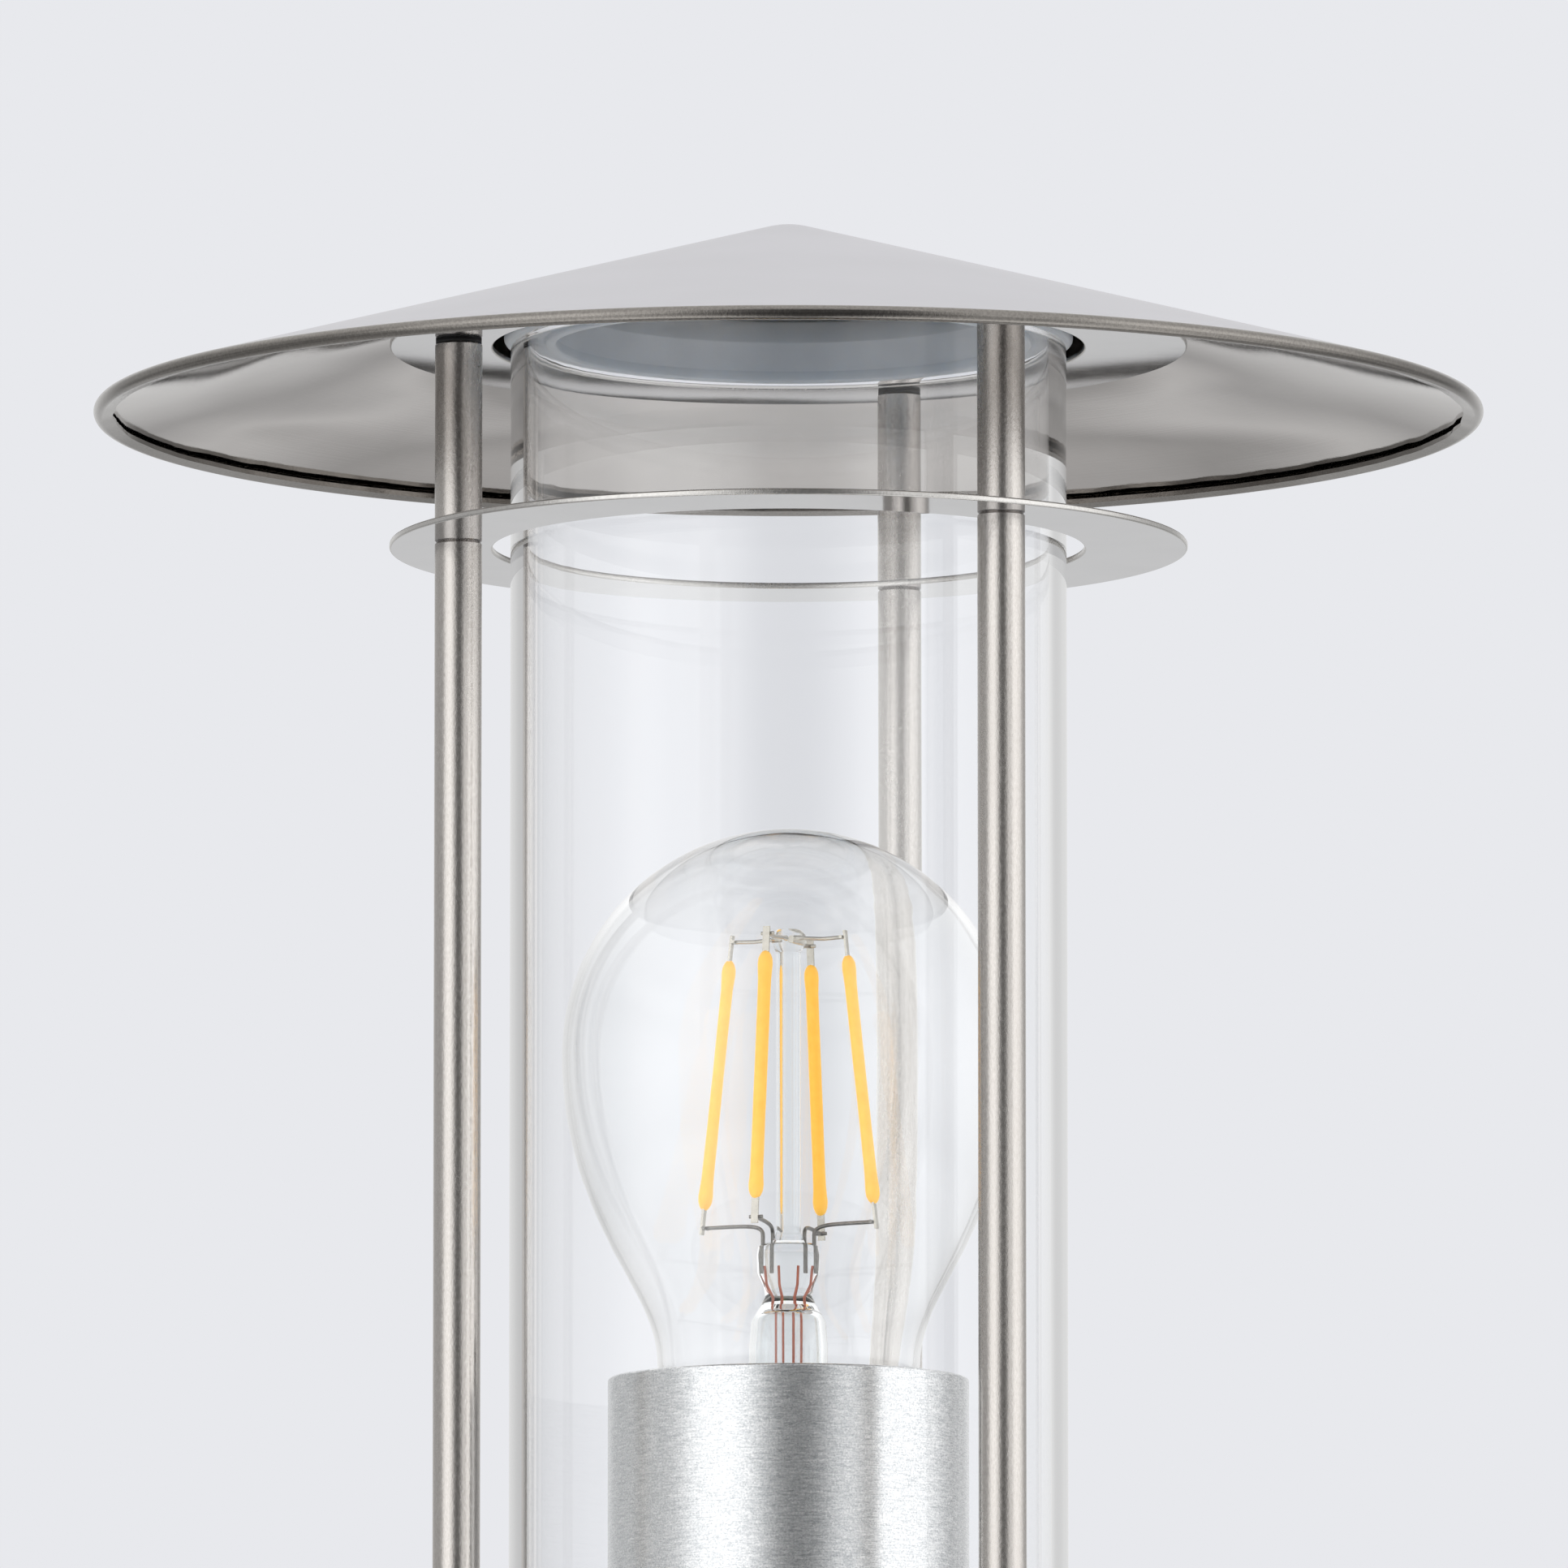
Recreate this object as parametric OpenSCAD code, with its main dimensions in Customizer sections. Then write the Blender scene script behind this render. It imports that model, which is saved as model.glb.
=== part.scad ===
// Pedestal lantern: a stainless steel conical hood carried on three rods over a clear glass tube,
// with a screw-in filament lamp on a round pedestal. Millimetres, +Z up, origin on the ground at the
// centre of the foot. The rods stand at 90, 210 and 330 degrees.

/* [Pedestal] */
// Height of the base plate's underside above the ground
pedestal_h = 232; // [160:1:900]
// Wall of the pedestal tube
tube_wall = 1.5; // [1:0.1:3]
// Gap between the tube and the thumb nuts beside it
nut_gap = 6.5; // [3:0.5:12]
// Thickness of the foot plate
foot_t = 3; // [2:0.5:6]
// Thickness of the rubber sheet under the foot
foot_gasket_t = 1.5; // [1:0.5:3]
// Distance from the tube to the circle of ground bolts
foot_bolt_offset = 15; // [12:0.5:25]
// Distance from the ground bolts' circle to the foot's edge
foot_margin = 10; // [7:0.5:20]
// Diameter of the ground bolt holes
foot_hole_d = 6.5; // [5:0.5:9]
// Bore of the cable grommet
cable_d = 8; // [6:0.5:12]
// Length of the spigot that plugs into the tube
spigot_h = 25; // [20:1:40]
// Wall of the spigot
spigot_wall = 3; // [2.5:0.5:5]

/* [Glass and seals] */
// Length of the glass tube
glass_len = 199; // [170:1:260]
// Wall of the glass tube
glass_wall = 2.3; // [1.8:0.1:4]
// Gap between the bulb and the glass tube
bulb_gap = 4.7; // [2:0.1:12]
// Thickness of the seal under the glass
base_seal_t = 1.5; // [1:0.1:3]
// Height that the seals' lips reach along the glass
seal_lip_h = 4; // [2:0.5:8]

/* [Frame] */
// Diameter of the rods
rod_d = 6.3; // [5:0.1:10]
// Length of the short rods between the two rings
spacer_len = 25.9; // [17:0.1:60]
// Thickness of the rings
ring_t = 0.8; // [0.6:0.1:2]
// Gap between the glass and the rings' holes
ring_gap = 2.4; // [1:0.1:6]
// Metal left between a ring's hole and a rod
rod_edge = 1.8; // [1:0.1:5]
// Metal left between a rod and a ring's outer edge
ring_margin = 5.6; // [3:0.1:15]
// Thickness of the base plate
base_t = 2; // [1.5:0.1:4]
// Thickness of the black washers on top of the short rods
rod_washer_t = 0.4; // [0.3:0.1:1]
// Diameter of the thumb nuts
nut_d = 12; // [10:0.5:16]
// Height of the thumb nuts
nut_h = 8; // [6:0.5:12]

/* [Hood] */
// Diameter of the hood over its hem
hood_d = 185; // [155:1:260]
// Slope of the cone in degrees
hood_slope = 15.3; // [11:0.1:20]
// Sheet thickness of the hood
hood_t = 0.7; // [0.5:0.1:1.2]
// Gap inside the folded hem
hem_gap = 0.5; // [0.3:0.05:1]
// Width of the folded hem
hem_w = 2.5; // [2:0.1:6]
// Outside radius of the blunt tip
tip_r = 12; // [6:1:20]
// Height of the weld beads between the upper ring and the cone
tack_h = 1; // [0.6:0.1:2]

/* [Lamp] */
// Diameter of the bulb
bulb_d = 60; // [50:1:80]
// Length of the bulb over its contact
bulb_len = 105; // [100:1:125]
// Height of the silver cup round the lamp-holder
cup_h = 62; // [56:1:90]
// Diameter of the cup
cup_d = 47.8; // [44:0.2:54]
// Wall of the cup
cup_wall = 1.2; // [0.8:0.1:2]
// Length of one filament over its end strips
filament_len = 40; // [30:1:46]

/* [Hidden] */
$fn = 96;

ROD_BACK = 90;
ROD_LEFT = 210;
ROD_RIGHT = 330;
ROD_ANGLES = [ROD_BACK, ROD_LEFT, ROD_RIGHT];
HALF_WAY = 60; // from a rod to the middle of the gap beside it

// Fits
slip = 0.1; // a piece that plugs into another
turn = 0.05; // a nut or a hollow that turns on a stud
pass = 0.2; // a hole that a stud drops through

// Metric threads, drawn at their outside diameter
m4_r = 2;
m3_r = 1.5;
m10_r = 5;

// Radii, from the bulb outwards
bulb_r = bulb_d / 2;
bore_r = bulb_r + bulb_gap;
glass_r = bore_r + glass_wall;
ring_hole_r = glass_r + ring_gap;
rod_r = rod_d / 2;
rod_circle_r = ring_hole_r + rod_edge + rod_r;
ring_r = rod_circle_r + rod_r + ring_margin;
tube_r = rod_circle_r - nut_d / 2 - nut_gap;
tube_bore_r = tube_r - tube_wall;
foot_bolt_r = tube_r + foot_bolt_offset;
foot_r = foot_bolt_r + foot_margin;
spigot_r = tube_bore_r - slip;
spigot_bore_r = spigot_r - spigot_wall;

// Heights, from the ground upwards
tube_z = foot_gasket_t + foot_t;
base_z = pedestal_h;
deck_z = base_z + base_t;
glass_z = deck_z + base_seal_t;
glass_top_z = glass_z + glass_len;
glass_into_ring = 0.5;
upper_ring_z = glass_top_z - glass_into_ring;
spacer_top_z = upper_ring_z - rod_washer_t;
spacer_z = spacer_top_z - spacer_len;
lower_ring_z = spacer_z - ring_t;

// Cone: the outer surface's virtual tip, set so that the cone rests on the upper ring's welds
apex_z = upper_ring_z + ring_t + tack_h + hood_t / cos(hood_slope) + ring_r * tan(hood_slope);
hem_h = 2 * hood_t + hem_gap;
hem_centre_r = hood_d / 2 - hem_h / 2;
function cone_z(r) = apex_z - r * tan(hood_slope);
function cone_inner_z(r) = cone_z(r) - hood_t / cos(hood_slope);

// Lamp-holder, hung from the height at which the bulb's contact seats
seat_below_cup = 31.8;
seat_z = deck_z + cup_h - seat_below_cup;
bulb_top_z = seat_z + bulb_len;
cup_r = cup_d / 2;
cup_floor_z = deck_z + cup_wall;
bracket_t = 1.5;
bracket_w = 12;
holder_z = seat_z - 10.4;
holder_neck_h = 10;
holder_neck_w = 30;
holder_r = 18.5;
holder_top_z = seat_z + 26.5;
nipple_r = m10_r;
nipple_bore_r = 3.8;
nipple_z = base_z - 6.5;
nipple_top_z = cup_floor_z + bracket_t + 2;

// Cap of the bulb, a 27 mm Edison screw drawn as rings, with the holder's shell clear of its crests
thread_pitch = 3.629;
cap_h = 27;
cap_crest_r = 13.1;
cap_thread_depth = 0.75;
cap_wall = 0.3;
cap_thread_z = 5;
cap_skirt_z = 19.5;
cap_lead_in = 0.6; // where the last thread runs out into the skirt
shell_gap = 0.15;
shell_wall = 0.4;
thread_steps = 10; // straight pieces in one turn of a thread's outline

// Bulb
bulb_wall = 0.7;
neck_r = 17.4;
neck_drop = 71; // from the top of the bulb to the straight of its neck
cap_bond = 0.03; // film of cement between the cap and the glass
neck_foot_r = cap_crest_r - cap_thread_depth / 2 - cap_wall - cap_bond;
curve_steps = 14; // straight pieces in one curve of an outline

// Stem and filaments, measured up from the seat of the contact
stem_flare_z = 21;
stem_tube_z = 28;
stem_pinch_z = 42;
stem_rod_z = 50;
stem_top_z = 90;
stem_tube_r = 5.25;
stem_tube_wall = 0.8;
stem_rod_r = 1.6;
stem_bead_r = 2.3;
pinch_w = 8.4;
pinch_t = 3.6;
filament_top_z = 91.3;
filament_top_r = 8;
filament_bottom_r = 12.4;
filament_r = 1;
strip_len = 3.3;
strip_w = 1;
strip_t = 0.4;
wire_r = 0.3;
knee_r = 0.38; // ball where a wire bends, a little proud of it
press_angle = 21; // the wide way of the press, from +X
FILAMENT_ANGLES = [for (i = [0:3]) 90 * i];

// Terminal block and wiring
block_w = 26;
block_d = 16;
block_h = 14;
block_top_z = base_z - 50;
pole_pitch = 8;
lead_r = 0.9;
lead_sides = 8;
lead_rings = 24;
lead_side = 1.6; // each lead's distance from the middle of the nipple
strap_w = 14;
strap_t = 1.5;
strap_y = sqrt(pow(spigot_bore_r, 2) - pow(strap_w / 2, 2)); // outer face, where its edges meet the spigot
strap_in_y = strap_y - strap_t;
block_z = block_top_z - block_h;
pole_y = strap_in_y - block_d / 2;
screw_z = base_z - spigot_h / 2;
screw_head_r = 3.5;
screw_head_h = 2.4;
earth_z = block_top_z + 15;

STEEL = [0.72, 0.71, 0.69];
MIRROR = [0.84, 0.84, 0.85];
CLEAR = [0.85, 0.93, 0.95, 0.3];
SILICONE = [0.82, 0.86, 0.9, 0.7];
RUBBER = [0.08, 0.08, 0.08];
SILVER = [0.78, 0.79, 0.8];
BRASS = [0.78, 0.62, 0.3];
NICKEL = [0.75, 0.73, 0.68];
PORCELAIN = [0.93, 0.92, 0.88];
PHOSPHOR = [0.98, 0.72, 0.15];

// ---- shapes used by several pieces

// A flat ring or washer standing on z
module ring(outer, inner, h, z) {
    translate([0, 0, z])
        difference() {
            cylinder(r = outer, h = h);
            translate([0, 0, -1]) cylinder(r = inner, h = h + 2);
        }
}

// A round bar from z to z + h
module bar(r, h, z) {
    translate([0, 0, z]) cylinder(r = r, h = h);
}

// Moves its children to the rod at angle a
module at_rod(a) {
    rotate(a) translate([rod_circle_r, 0, 0]) children();
}

// Repeats its children at the three rods
module at_rods() {
    for (a = ROD_ANGLES) at_rod(a) children();
}

// A straight bar between two points
module bar_between(from, to, r) {
    d = to - from;
    turn_z = atan2(d[1], d[0]);
    tilt = atan2(norm([d[0], d[1]]), d[2]);
    translate(from) rotate([0, tilt, turn_z]) cylinder(r = r, h = norm(d), $fn = 24);
}

function bezier(p, t) =
    p[0] * pow(1 - t, 3) + 3 * p[1] * t * pow(1 - t, 2) + 3 * p[2] * t * t * (1 - t) + p[3] * pow(t, 3);
function unit(v) = v / norm(v);

function curve(p, steps) = [for (i = [0:steps]) bezier(p, i / steps)];

// A round lead swept along a list of points; no stretch of it runs along X
module lead(path) {
    last = len(path) - 1;
    rings = [for (i = [0:last]) let (
            along = unit(path[min(i + 1, last)] - path[max(i - 1, 0)]),
            u = unit(cross(along, [1, 0, 0])),
            v = cross(along, u)
        ) for (k = [0:lead_sides - 1])
            path[i] + lead_r * (cos(360 * k / lead_sides) * u + sin(360 * k / lead_sides) * v)];
    sides = [for (i = [0:last - 1]) for (k = [0:lead_sides - 1]) let (
            a = i * lead_sides + k,
            b = i * lead_sides + (k + 1) % lead_sides
        ) [a, a + lead_sides, b + lead_sides, b]];
    start_cap = [for (k = [0:lead_sides - 1]) k];
    end_cap = [for (k = [lead_sides - 1:-1:0]) last * lead_sides + k];
    polyhedron(rings, concat([start_cap], sides, [end_cap]), convexity = 4);
}

// ---- foot and pedestal

module foot_holes(h) {
    for (a = ROD_ANGLES)
        rotate(a) translate([foot_bolt_r, 0, -1]) cylinder(d = foot_hole_d, h = h + 2);
}

grommet_groove_r = cable_d / 2 + 4;
grommet_flange_r = grommet_groove_r + 2.5;
grommet_lip = 2;

module foot_gasket() {
    color(RUBBER)
        difference() {
            ring(foot_r - 1, grommet_flange_r + 2, foot_gasket_t, 0);
            foot_holes(foot_gasket_t);
        }
}

module foot_plate() {
    color(STEEL)
        translate([0, 0, foot_gasket_t])
            difference() {
                cylinder(r = foot_r, h = foot_t);
                translate([0, 0, -1]) cylinder(r = grommet_groove_r, h = foot_t + 2);
                foot_holes(foot_t);
            }
}

module cable_grommet() {
    color(RUBBER)
        difference() {
            union() {
                bar(grommet_flange_r, foot_gasket_t, 0);
                bar(grommet_groove_r, foot_t + 1, foot_gasket_t - 0.5);
                bar(grommet_flange_r, grommet_lip, foot_gasket_t + foot_t);
            }
            bar(cable_d / 2, tube_z + grommet_lip + 2, -1);
        }
}

module spigot_screw_holes(r) {
    for (a = ROD_ANGLES)
        rotate(a + HALF_WAY) translate([spigot_bore_r - 3, 0, screw_z])
            rotate([0, 90, 0]) cylinder(r = r, h = tube_r - spigot_bore_r + 6, $fn = 48);
}

module pedestal_tube() {
    color(STEEL)
        difference() {
            ring(tube_r, tube_bore_r, base_z - tube_z, tube_z);
            spigot_screw_holes(m4_r + pass);
        }
}

module spigot() {
    color(STEEL)
        difference() {
            ring(spigot_r, spigot_bore_r, spigot_h, base_z - spigot_h);
            spigot_screw_holes(m4_r);
        }
}

// The front screw is longer, because it also holds the terminal bracket
bracket_nut_t = 3.2;

module spigot_screw(inner_r) {
    translate([inner_r, 0, screw_z]) rotate([0, 90, 0]) {
        cylinder(r = m4_r, h = tube_r - inner_r, $fn = 48);
        translate([0, 0, tube_r - inner_r])
            difference() {
                cylinder(r = screw_head_r, h = screw_head_h, $fn = 48);
                translate([0, 0, 1]) cylinder(r = 1.45, h = screw_head_h, $fn = 6);
            }
    }
}

module spigot_screws() {
    color(NICKEL) {
        for (a = [ROD_RIGHT, ROD_BACK]) rotate(a + HALF_WAY) spigot_screw(spigot_bore_r);
        rotate(ROD_LEFT + HALF_WAY) spigot_screw(strap_in_y - bracket_nut_t - 1);
    }
}

// ---- wiring inside the pedestal

module terminal_bracket() {
    strap_top_z = base_z - 4;
    strap_bottom_z = block_z - 4;
    color(STEEL)
        difference() {
            translate([-strap_w / 2, -strap_y, strap_bottom_z])
                cube([strap_w, strap_t, strap_top_z - strap_bottom_z]);
            for (hole = [[screw_z, m4_r + pass], [earth_z, m3_r]])
                translate([0, -strap_y - 1, hole[0]]) rotate([-90, 0, 0])
                    cylinder(r = hole[1], h = strap_t + 2, $fn = 48);
        }
}

module bracket_nut() {
    color(NICKEL)
        translate([0, -strap_in_y, screw_z]) rotate([-90, 0, 0])
            difference() {
                cylinder(r = 4, h = bracket_nut_t, $fn = 6);
                translate([0, 0, -1]) cylinder(r = m4_r, h = bracket_nut_t + 2, $fn = 48);
            }
}

module at_poles() {
    for (k = [-1:1]) translate([k * pole_pitch, -pole_y, 0]) children();
}

clamp_r = 2.4;
clamp_h = block_h - 2;
pole_screw_r = 1.5;

module terminal_block() {
    color([0.9, 0.9, 0.88])
        difference() {
            translate([-block_w / 2, -strap_in_y, block_z]) cube([block_w, block_d, block_h]);
            at_poles() bar(clamp_r, block_h + 2, block_z - 1, $fn = 48);
            at_poles() for (z = [0.3, 0.7])
                translate([0, 0, block_z + z * block_h]) rotate([-90, 0, 0])
                    cylinder(r = pole_screw_r + 0.2, h = block_d, $fn = 32);
        }
}

module terminal_clamps() {
    color(BRASS)
        at_poles()
            difference() {
                bar(clamp_r, clamp_h, block_z + 1, $fn = 48);
                bar(lead_r + turn, clamp_h + 2, block_z, $fn = 32);
                for (z = [0.3, 0.7])
                    translate([0, 0, block_z + z * block_h]) rotate([-90, 0, 0])
                        cylinder(r = pole_screw_r, h = clamp_r + 1, $fn = 32);
            }
}

module terminal_screws() {
    screw_in = lead_r + turn + 0.1;
    color(NICKEL)
        at_poles() for (z = [0.3, 0.7])
            translate([0, screw_in, block_z + z * block_h]) rotate([-90, 0, 0])
                difference() {
                    cylinder(r = pole_screw_r, h = block_d / 2 - screw_in - 1, $fn = 32);
                    translate([-2, -0.25, block_d / 2 - screw_in - 1.8]) cube([4, 0.5, 2]);
                }
}

earth_lug_t = 0.8;

module earth_screw() {
    color(BRASS)
        translate([0, -strap_y, earth_z]) rotate([-90, 0, 0]) {
            cylinder(r = m3_r, h = strap_t + earth_lug_t, $fn = 48);
            translate([0, 0, strap_t]) cylinder(r = 4, h = earth_lug_t, $fn = 48);
            translate([0, 0, strap_t + earth_lug_t]) cylinder(r = 2.8, h = 2, $fn = 48);
        }
}

// The leads leave the holder's terminals sideways, turn down through the nipple and fan out to their poles
terminal_in_y = 5;
terminal_z = holder_z - 3.5;
turn_r = terminal_in_y - lead_side;

module holder_lead(side) {
    knee_z = terminal_z - turn_r;
    elbow = [for (a = [90:15:180])
        [0, side * (terminal_in_y + turn_r * cos(a)), knee_z + turn_r * sin(a)]];
    from = [0, side * lead_side, nipple_z];
    to = [side * pole_pitch, -pole_y, block_top_z - 1.5];
    lead(concat(elbow, curve([from, from - [0, 0, 16], to + [0, 0, 17], to], lead_rings)));
}

module live_lead() {
    color([0.35, 0.18, 0.08]) holder_lead(1);
}

module neutral_lead() {
    color([0.12, 0.3, 0.7]) holder_lead(-1);
}

module earth_lead() {
    from = [0, -pole_y, block_top_z - 1.5];
    to = [0, -strap_in_y + earth_lug_t + lead_r, earth_z - 2.8 - lead_r];
    color([0.45, 0.65, 0.15])
        lead(curve([from, from + [0, 0, 9], to - [0, -5, 6], to], lead_rings));
}

// ---- base plate, seal and thumb nuts

module base_plate() {
    color(MIRROR)
        difference() {
            bar(ring_r, base_t, base_z);
            bar(nipple_r + pass, base_t + 2, base_z - 1);
            at_rods() bar(m4_r + pass, base_t + 2, base_z - 1, $fn = 48);
        }
}

nut_washer_t = 0.8;

module nut_washers() {
    color(STEEL)
        at_rods() ring(4.5, m4_r + pass, nut_washer_t, base_z - nut_washer_t, $fn = 48);
}

module thumb_nut(a) {
    chamfer = 0.7;
    top_z = base_z - nut_washer_t;
    color(STEEL)
        at_rod(a)
            difference() {
                translate([0, 0, top_z - nut_h]) rotate_extrude()
                    polygon([[0, 0], [nut_d / 2 - chamfer, 0], [nut_d / 2, chamfer],
                        [nut_d / 2, nut_h - chamfer - 1.2], [nut_d / 2 - 1, nut_h - chamfer - 1],
                        [nut_d / 2 - 1, nut_h], [0, nut_h]]);
                bar(m4_r + turn, nut_h + 2, top_z - nut_h - 1, $fn = 48);
            }
}

seal_lip_t = 1.5;
seal_gap = 0.2;
plug_gap = 2.2;

module base_seal() {
    lip_r = bore_r - seal_gap;
    color(SILICONE)
        translate([0, 0, deck_z]) rotate_extrude()
            polygon([[lip_r - seal_lip_t, 0], [glass_r + 0.5, 0], [glass_r + 0.5, base_seal_t],
                [lip_r, base_seal_t], [lip_r - 0.3, base_seal_t + seal_lip_h],
                [lip_r - seal_lip_t, base_seal_t + seal_lip_h]]);
}

// ---- lamp-holder

module nipple() {
    color(NICKEL) ring(nipple_r, nipple_bore_r, nipple_top_z - nipple_z, nipple_z, $fn = 64);
}

module nipple_nut() {
    nut_t = 3.5;
    color(NICKEL)
        translate([0, 0, base_z - nut_t])
            difference() {
                union() {
                    cylinder(r = 8, h = nut_t - 0.8, $fn = 6);
                    translate([0, 0, nut_t - 0.8]) cylinder(r = 7.8, h = 0.8, $fn = 64);
                }
                translate([0, 0, -1]) cylinder(r = nipple_r, h = nut_t + 2, $fn = 64);
            }
}

module holder_screw_holes(r) {
    for (side = [-1, 1])
        translate([0, 0, holder_z + holder_neck_h / 2]) rotate([0, side * 90, 0])
            translate([0, 0, holder_neck_w / 2 - 6]) cylinder(r = r, h = 12, $fn = 32);
}

module holder_bracket() {
    leg_out = holder_neck_w / 2 + bracket_t;
    leg_h = holder_z + holder_neck_h - 1 - cup_floor_z;
    color(STEEL)
        difference() {
            union() {
                translate([-leg_out, -bracket_w / 2, cup_floor_z])
                    cube([2 * leg_out, bracket_w, bracket_t]);
                for (x = [-leg_out, holder_neck_w / 2])
                    translate([x, -bracket_w / 2, cup_floor_z]) cube([bracket_t, bracket_w, leg_h]);
            }
            bar(nipple_r, bracket_t + 2, cup_floor_z - 1, $fn = 64);
            holder_screw_holes(m3_r + pass);
        }
}

module holder_cup() {
    color(SILVER)
        translate([0, 0, deck_z])
            difference() {
                cylinder(r = cup_r, h = cup_h);
                translate([0, 0, cup_wall]) cylinder(r = cup_r - cup_wall, h = cup_h);
                translate([0, 0, -1]) cylinder(r = nipple_r + pass, h = cup_wall + 2);
            }
}

shell_crest_r = cap_crest_r + shell_gap;
shell_r = shell_crest_r + cap_thread_depth + shell_wall;
shell_z = seat_z + 3.6;
shell_h = 22;
contact_w = 7;

module holder_body() {
    color(PORCELAIN)
        difference() {
            union() {
                bar(holder_r, holder_top_z - holder_z - holder_neck_h, holder_z + holder_neck_h);
                translate([-holder_neck_w / 2, -holder_neck_w / 2 + 2, holder_z])
                    cube([holder_neck_w, holder_neck_w - 4, holder_neck_h]);
            }
            bar(shell_r, holder_top_z - seat_z + 10, seat_z - 4);
            holder_screw_holes(m3_r);
        }
}

module holder_screws() {
    color(NICKEL)
        for (side = [-1, 1])
            translate([0, 0, holder_z + holder_neck_h / 2]) rotate([0, side * 90, 0])
                translate([0, 0, holder_neck_w / 2 - 5]) {
                    cylinder(r = m3_r, h = 5 + bracket_t, $fn = 32);
                    translate([0, 0, 5 + bracket_t]) cylinder(r = 2.8, h = 1.8, $fn = 32);
                }
}

// One wavy wall of a rolled thread, from z = 0 to z = h
function thread_line(crest, h, offset) = [for (i = [0:round(h / thread_pitch * thread_steps)])
    let (z = min(h, i * thread_pitch / thread_steps))
        [crest - cap_thread_depth * (1 - cos(360 * z / thread_pitch)) / 2 + offset, z]];
function turned_round(line) = [for (i = [len(line) - 1:-1:0]) line[i]];

module screw_shell() {
    inner = thread_line(shell_crest_r + cap_thread_depth, shell_h, 0);
    outer = thread_line(shell_crest_r + cap_thread_depth, shell_h, shell_wall);
    color(BRASS)
        translate([0, 0, shell_z]) rotate_extrude() polygon(concat(inner, turned_round(outer)));
}

module centre_contact() {
    color(BRASS)
        translate([-contact_w / 2, 0, seat_z - 4]) rotate([90, 0, 90]) linear_extrude(contact_w)
            polygon([[-10, 0], [6, 0], [6, 0.6], [-8, 0.6], [2, 3.3], [5, 3.3], [5, 4], [2, 4],
                [-10, 0.8]]);
}

module holder_terminals() {
    color(BRASS)
        for (side = [-1, 1]) scale([1, side, 1])
            translate([-3, terminal_in_y, holder_z - 6]) cube([6, 6, 6]);
}

// ---- glass

module glass_tube() {
    color(CLEAR) ring(glass_r, bore_r, glass_len, glass_z);
}

// ---- frame of rods and rings

stud_depth = 8; // how far a stud goes into the end of a rod
stud_reach = base_t + nut_washer_t + nut_h + 1.5; // how far the end studs stand out below the rods

module rod(a) {
    color(STEEL)
        at_rod(a)
            difference() {
                bar(rod_r, lower_ring_z - deck_z, deck_z, $fn = 64);
                bar(m4_r, stud_depth + 1, deck_z - 1, $fn = 48);
                bar(m4_r, stud_depth + 1, lower_ring_z - stud_depth, $fn = 48);
            }
}

module rod_end_studs() {
    color(NICKEL) at_rods() bar(m4_r, stud_reach + stud_depth, deck_z - stud_reach, $fn = 48);
}

module frame_ring(z) {
    color(MIRROR)
        difference() {
            ring(ring_r, ring_hole_r, ring_t, z, $fn = 180);
            at_rods() bar(m4_r, ring_t + 2, z - 1, $fn = 48);
        }
}

module lower_ring() {
    frame_ring(lower_ring_z);
}

module upper_ring() {
    frame_ring(upper_ring_z);
}

module joining_studs() {
    color(NICKEL)
        at_rods() bar(m4_r, 2 * stud_depth + ring_t, lower_ring_z - stud_depth, $fn = 48);
}

module spacer(a) {
    color(STEEL)
        at_rod(a)
            difference() {
                bar(rod_r, spacer_len, spacer_z, $fn = 64);
                bar(m4_r, stud_depth + 1, spacer_z - 1, $fn = 48);
                bar(m4_r, stud_depth + 1, spacer_top_z - stud_depth, $fn = 48);
            }
}

module rod_washers() {
    color(RUBBER) at_rods() ring(rod_r - 0.1, m4_r, rod_washer_t, spacer_top_z, $fn = 64);
}

module ring_studs() {
    reach = ring_t + rod_washer_t + stud_depth;
    color(NICKEL) at_rods() bar(m4_r, reach, upper_ring_z + ring_t - reach, $fn = 48);
}

// ---- hood

// Weld beads between the ring's top and the inside of the cone
module hood_tacks() {
    bead_span = 14;
    bead_w = 2.4;
    ring_top_z = upper_ring_z + ring_t;
    inner_r = ring_r - bead_w;
    outer_r = ring_r - 0.3;
    color(STEEL)
        for (a = ROD_ANGLES)
            rotate(a + HALF_WAY - bead_span / 2) rotate_extrude(angle = bead_span)
                polygon([[inner_r + 0.4, ring_top_z], [outer_r, ring_top_z],
                    [outer_r - 0.5, ring_top_z + tack_h / 2], [outer_r, cone_inner_z(outer_r)],
                    [inner_r, cone_inner_z(inner_r)], [inner_r + 0.8, ring_top_z + tack_h / 2]]);
}

// Soft ring that fills from the glass's end to the inside of the cone
module top_seal() {
    lip_r = bore_r - plug_gap;
    lip_z = glass_top_z - 0.65;
    flange_r = glass_r + 0.9;
    flange_top = glass_top_z + 1.7;
    round_r = (flange_top - glass_top_z) / 2;
    shoulder_r = bore_r + 0.8;
    crown_r = bore_r - 5.5;
    color(SILICONE)
        rotate_extrude($fn = 180) {
            polygon([[lip_r - seal_lip_t, lip_z], [lip_r, lip_z], [lip_r, glass_top_z],
                [flange_r - round_r, glass_top_z], [flange_r - round_r, flange_top],
                [shoulder_r, flange_top], [shoulder_r, cone_inner_z(shoulder_r) - turn],
                [crown_r + 0.8, cone_inner_z(crown_r + 0.8) - turn],
                [crown_r, flange_top + 2.8], [lip_r - seal_lip_t, lip_z + seal_lip_t]]);
            translate([flange_r - round_r, glass_top_z + round_r]) circle(r = round_r, $fn = 24);
        }
}

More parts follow.
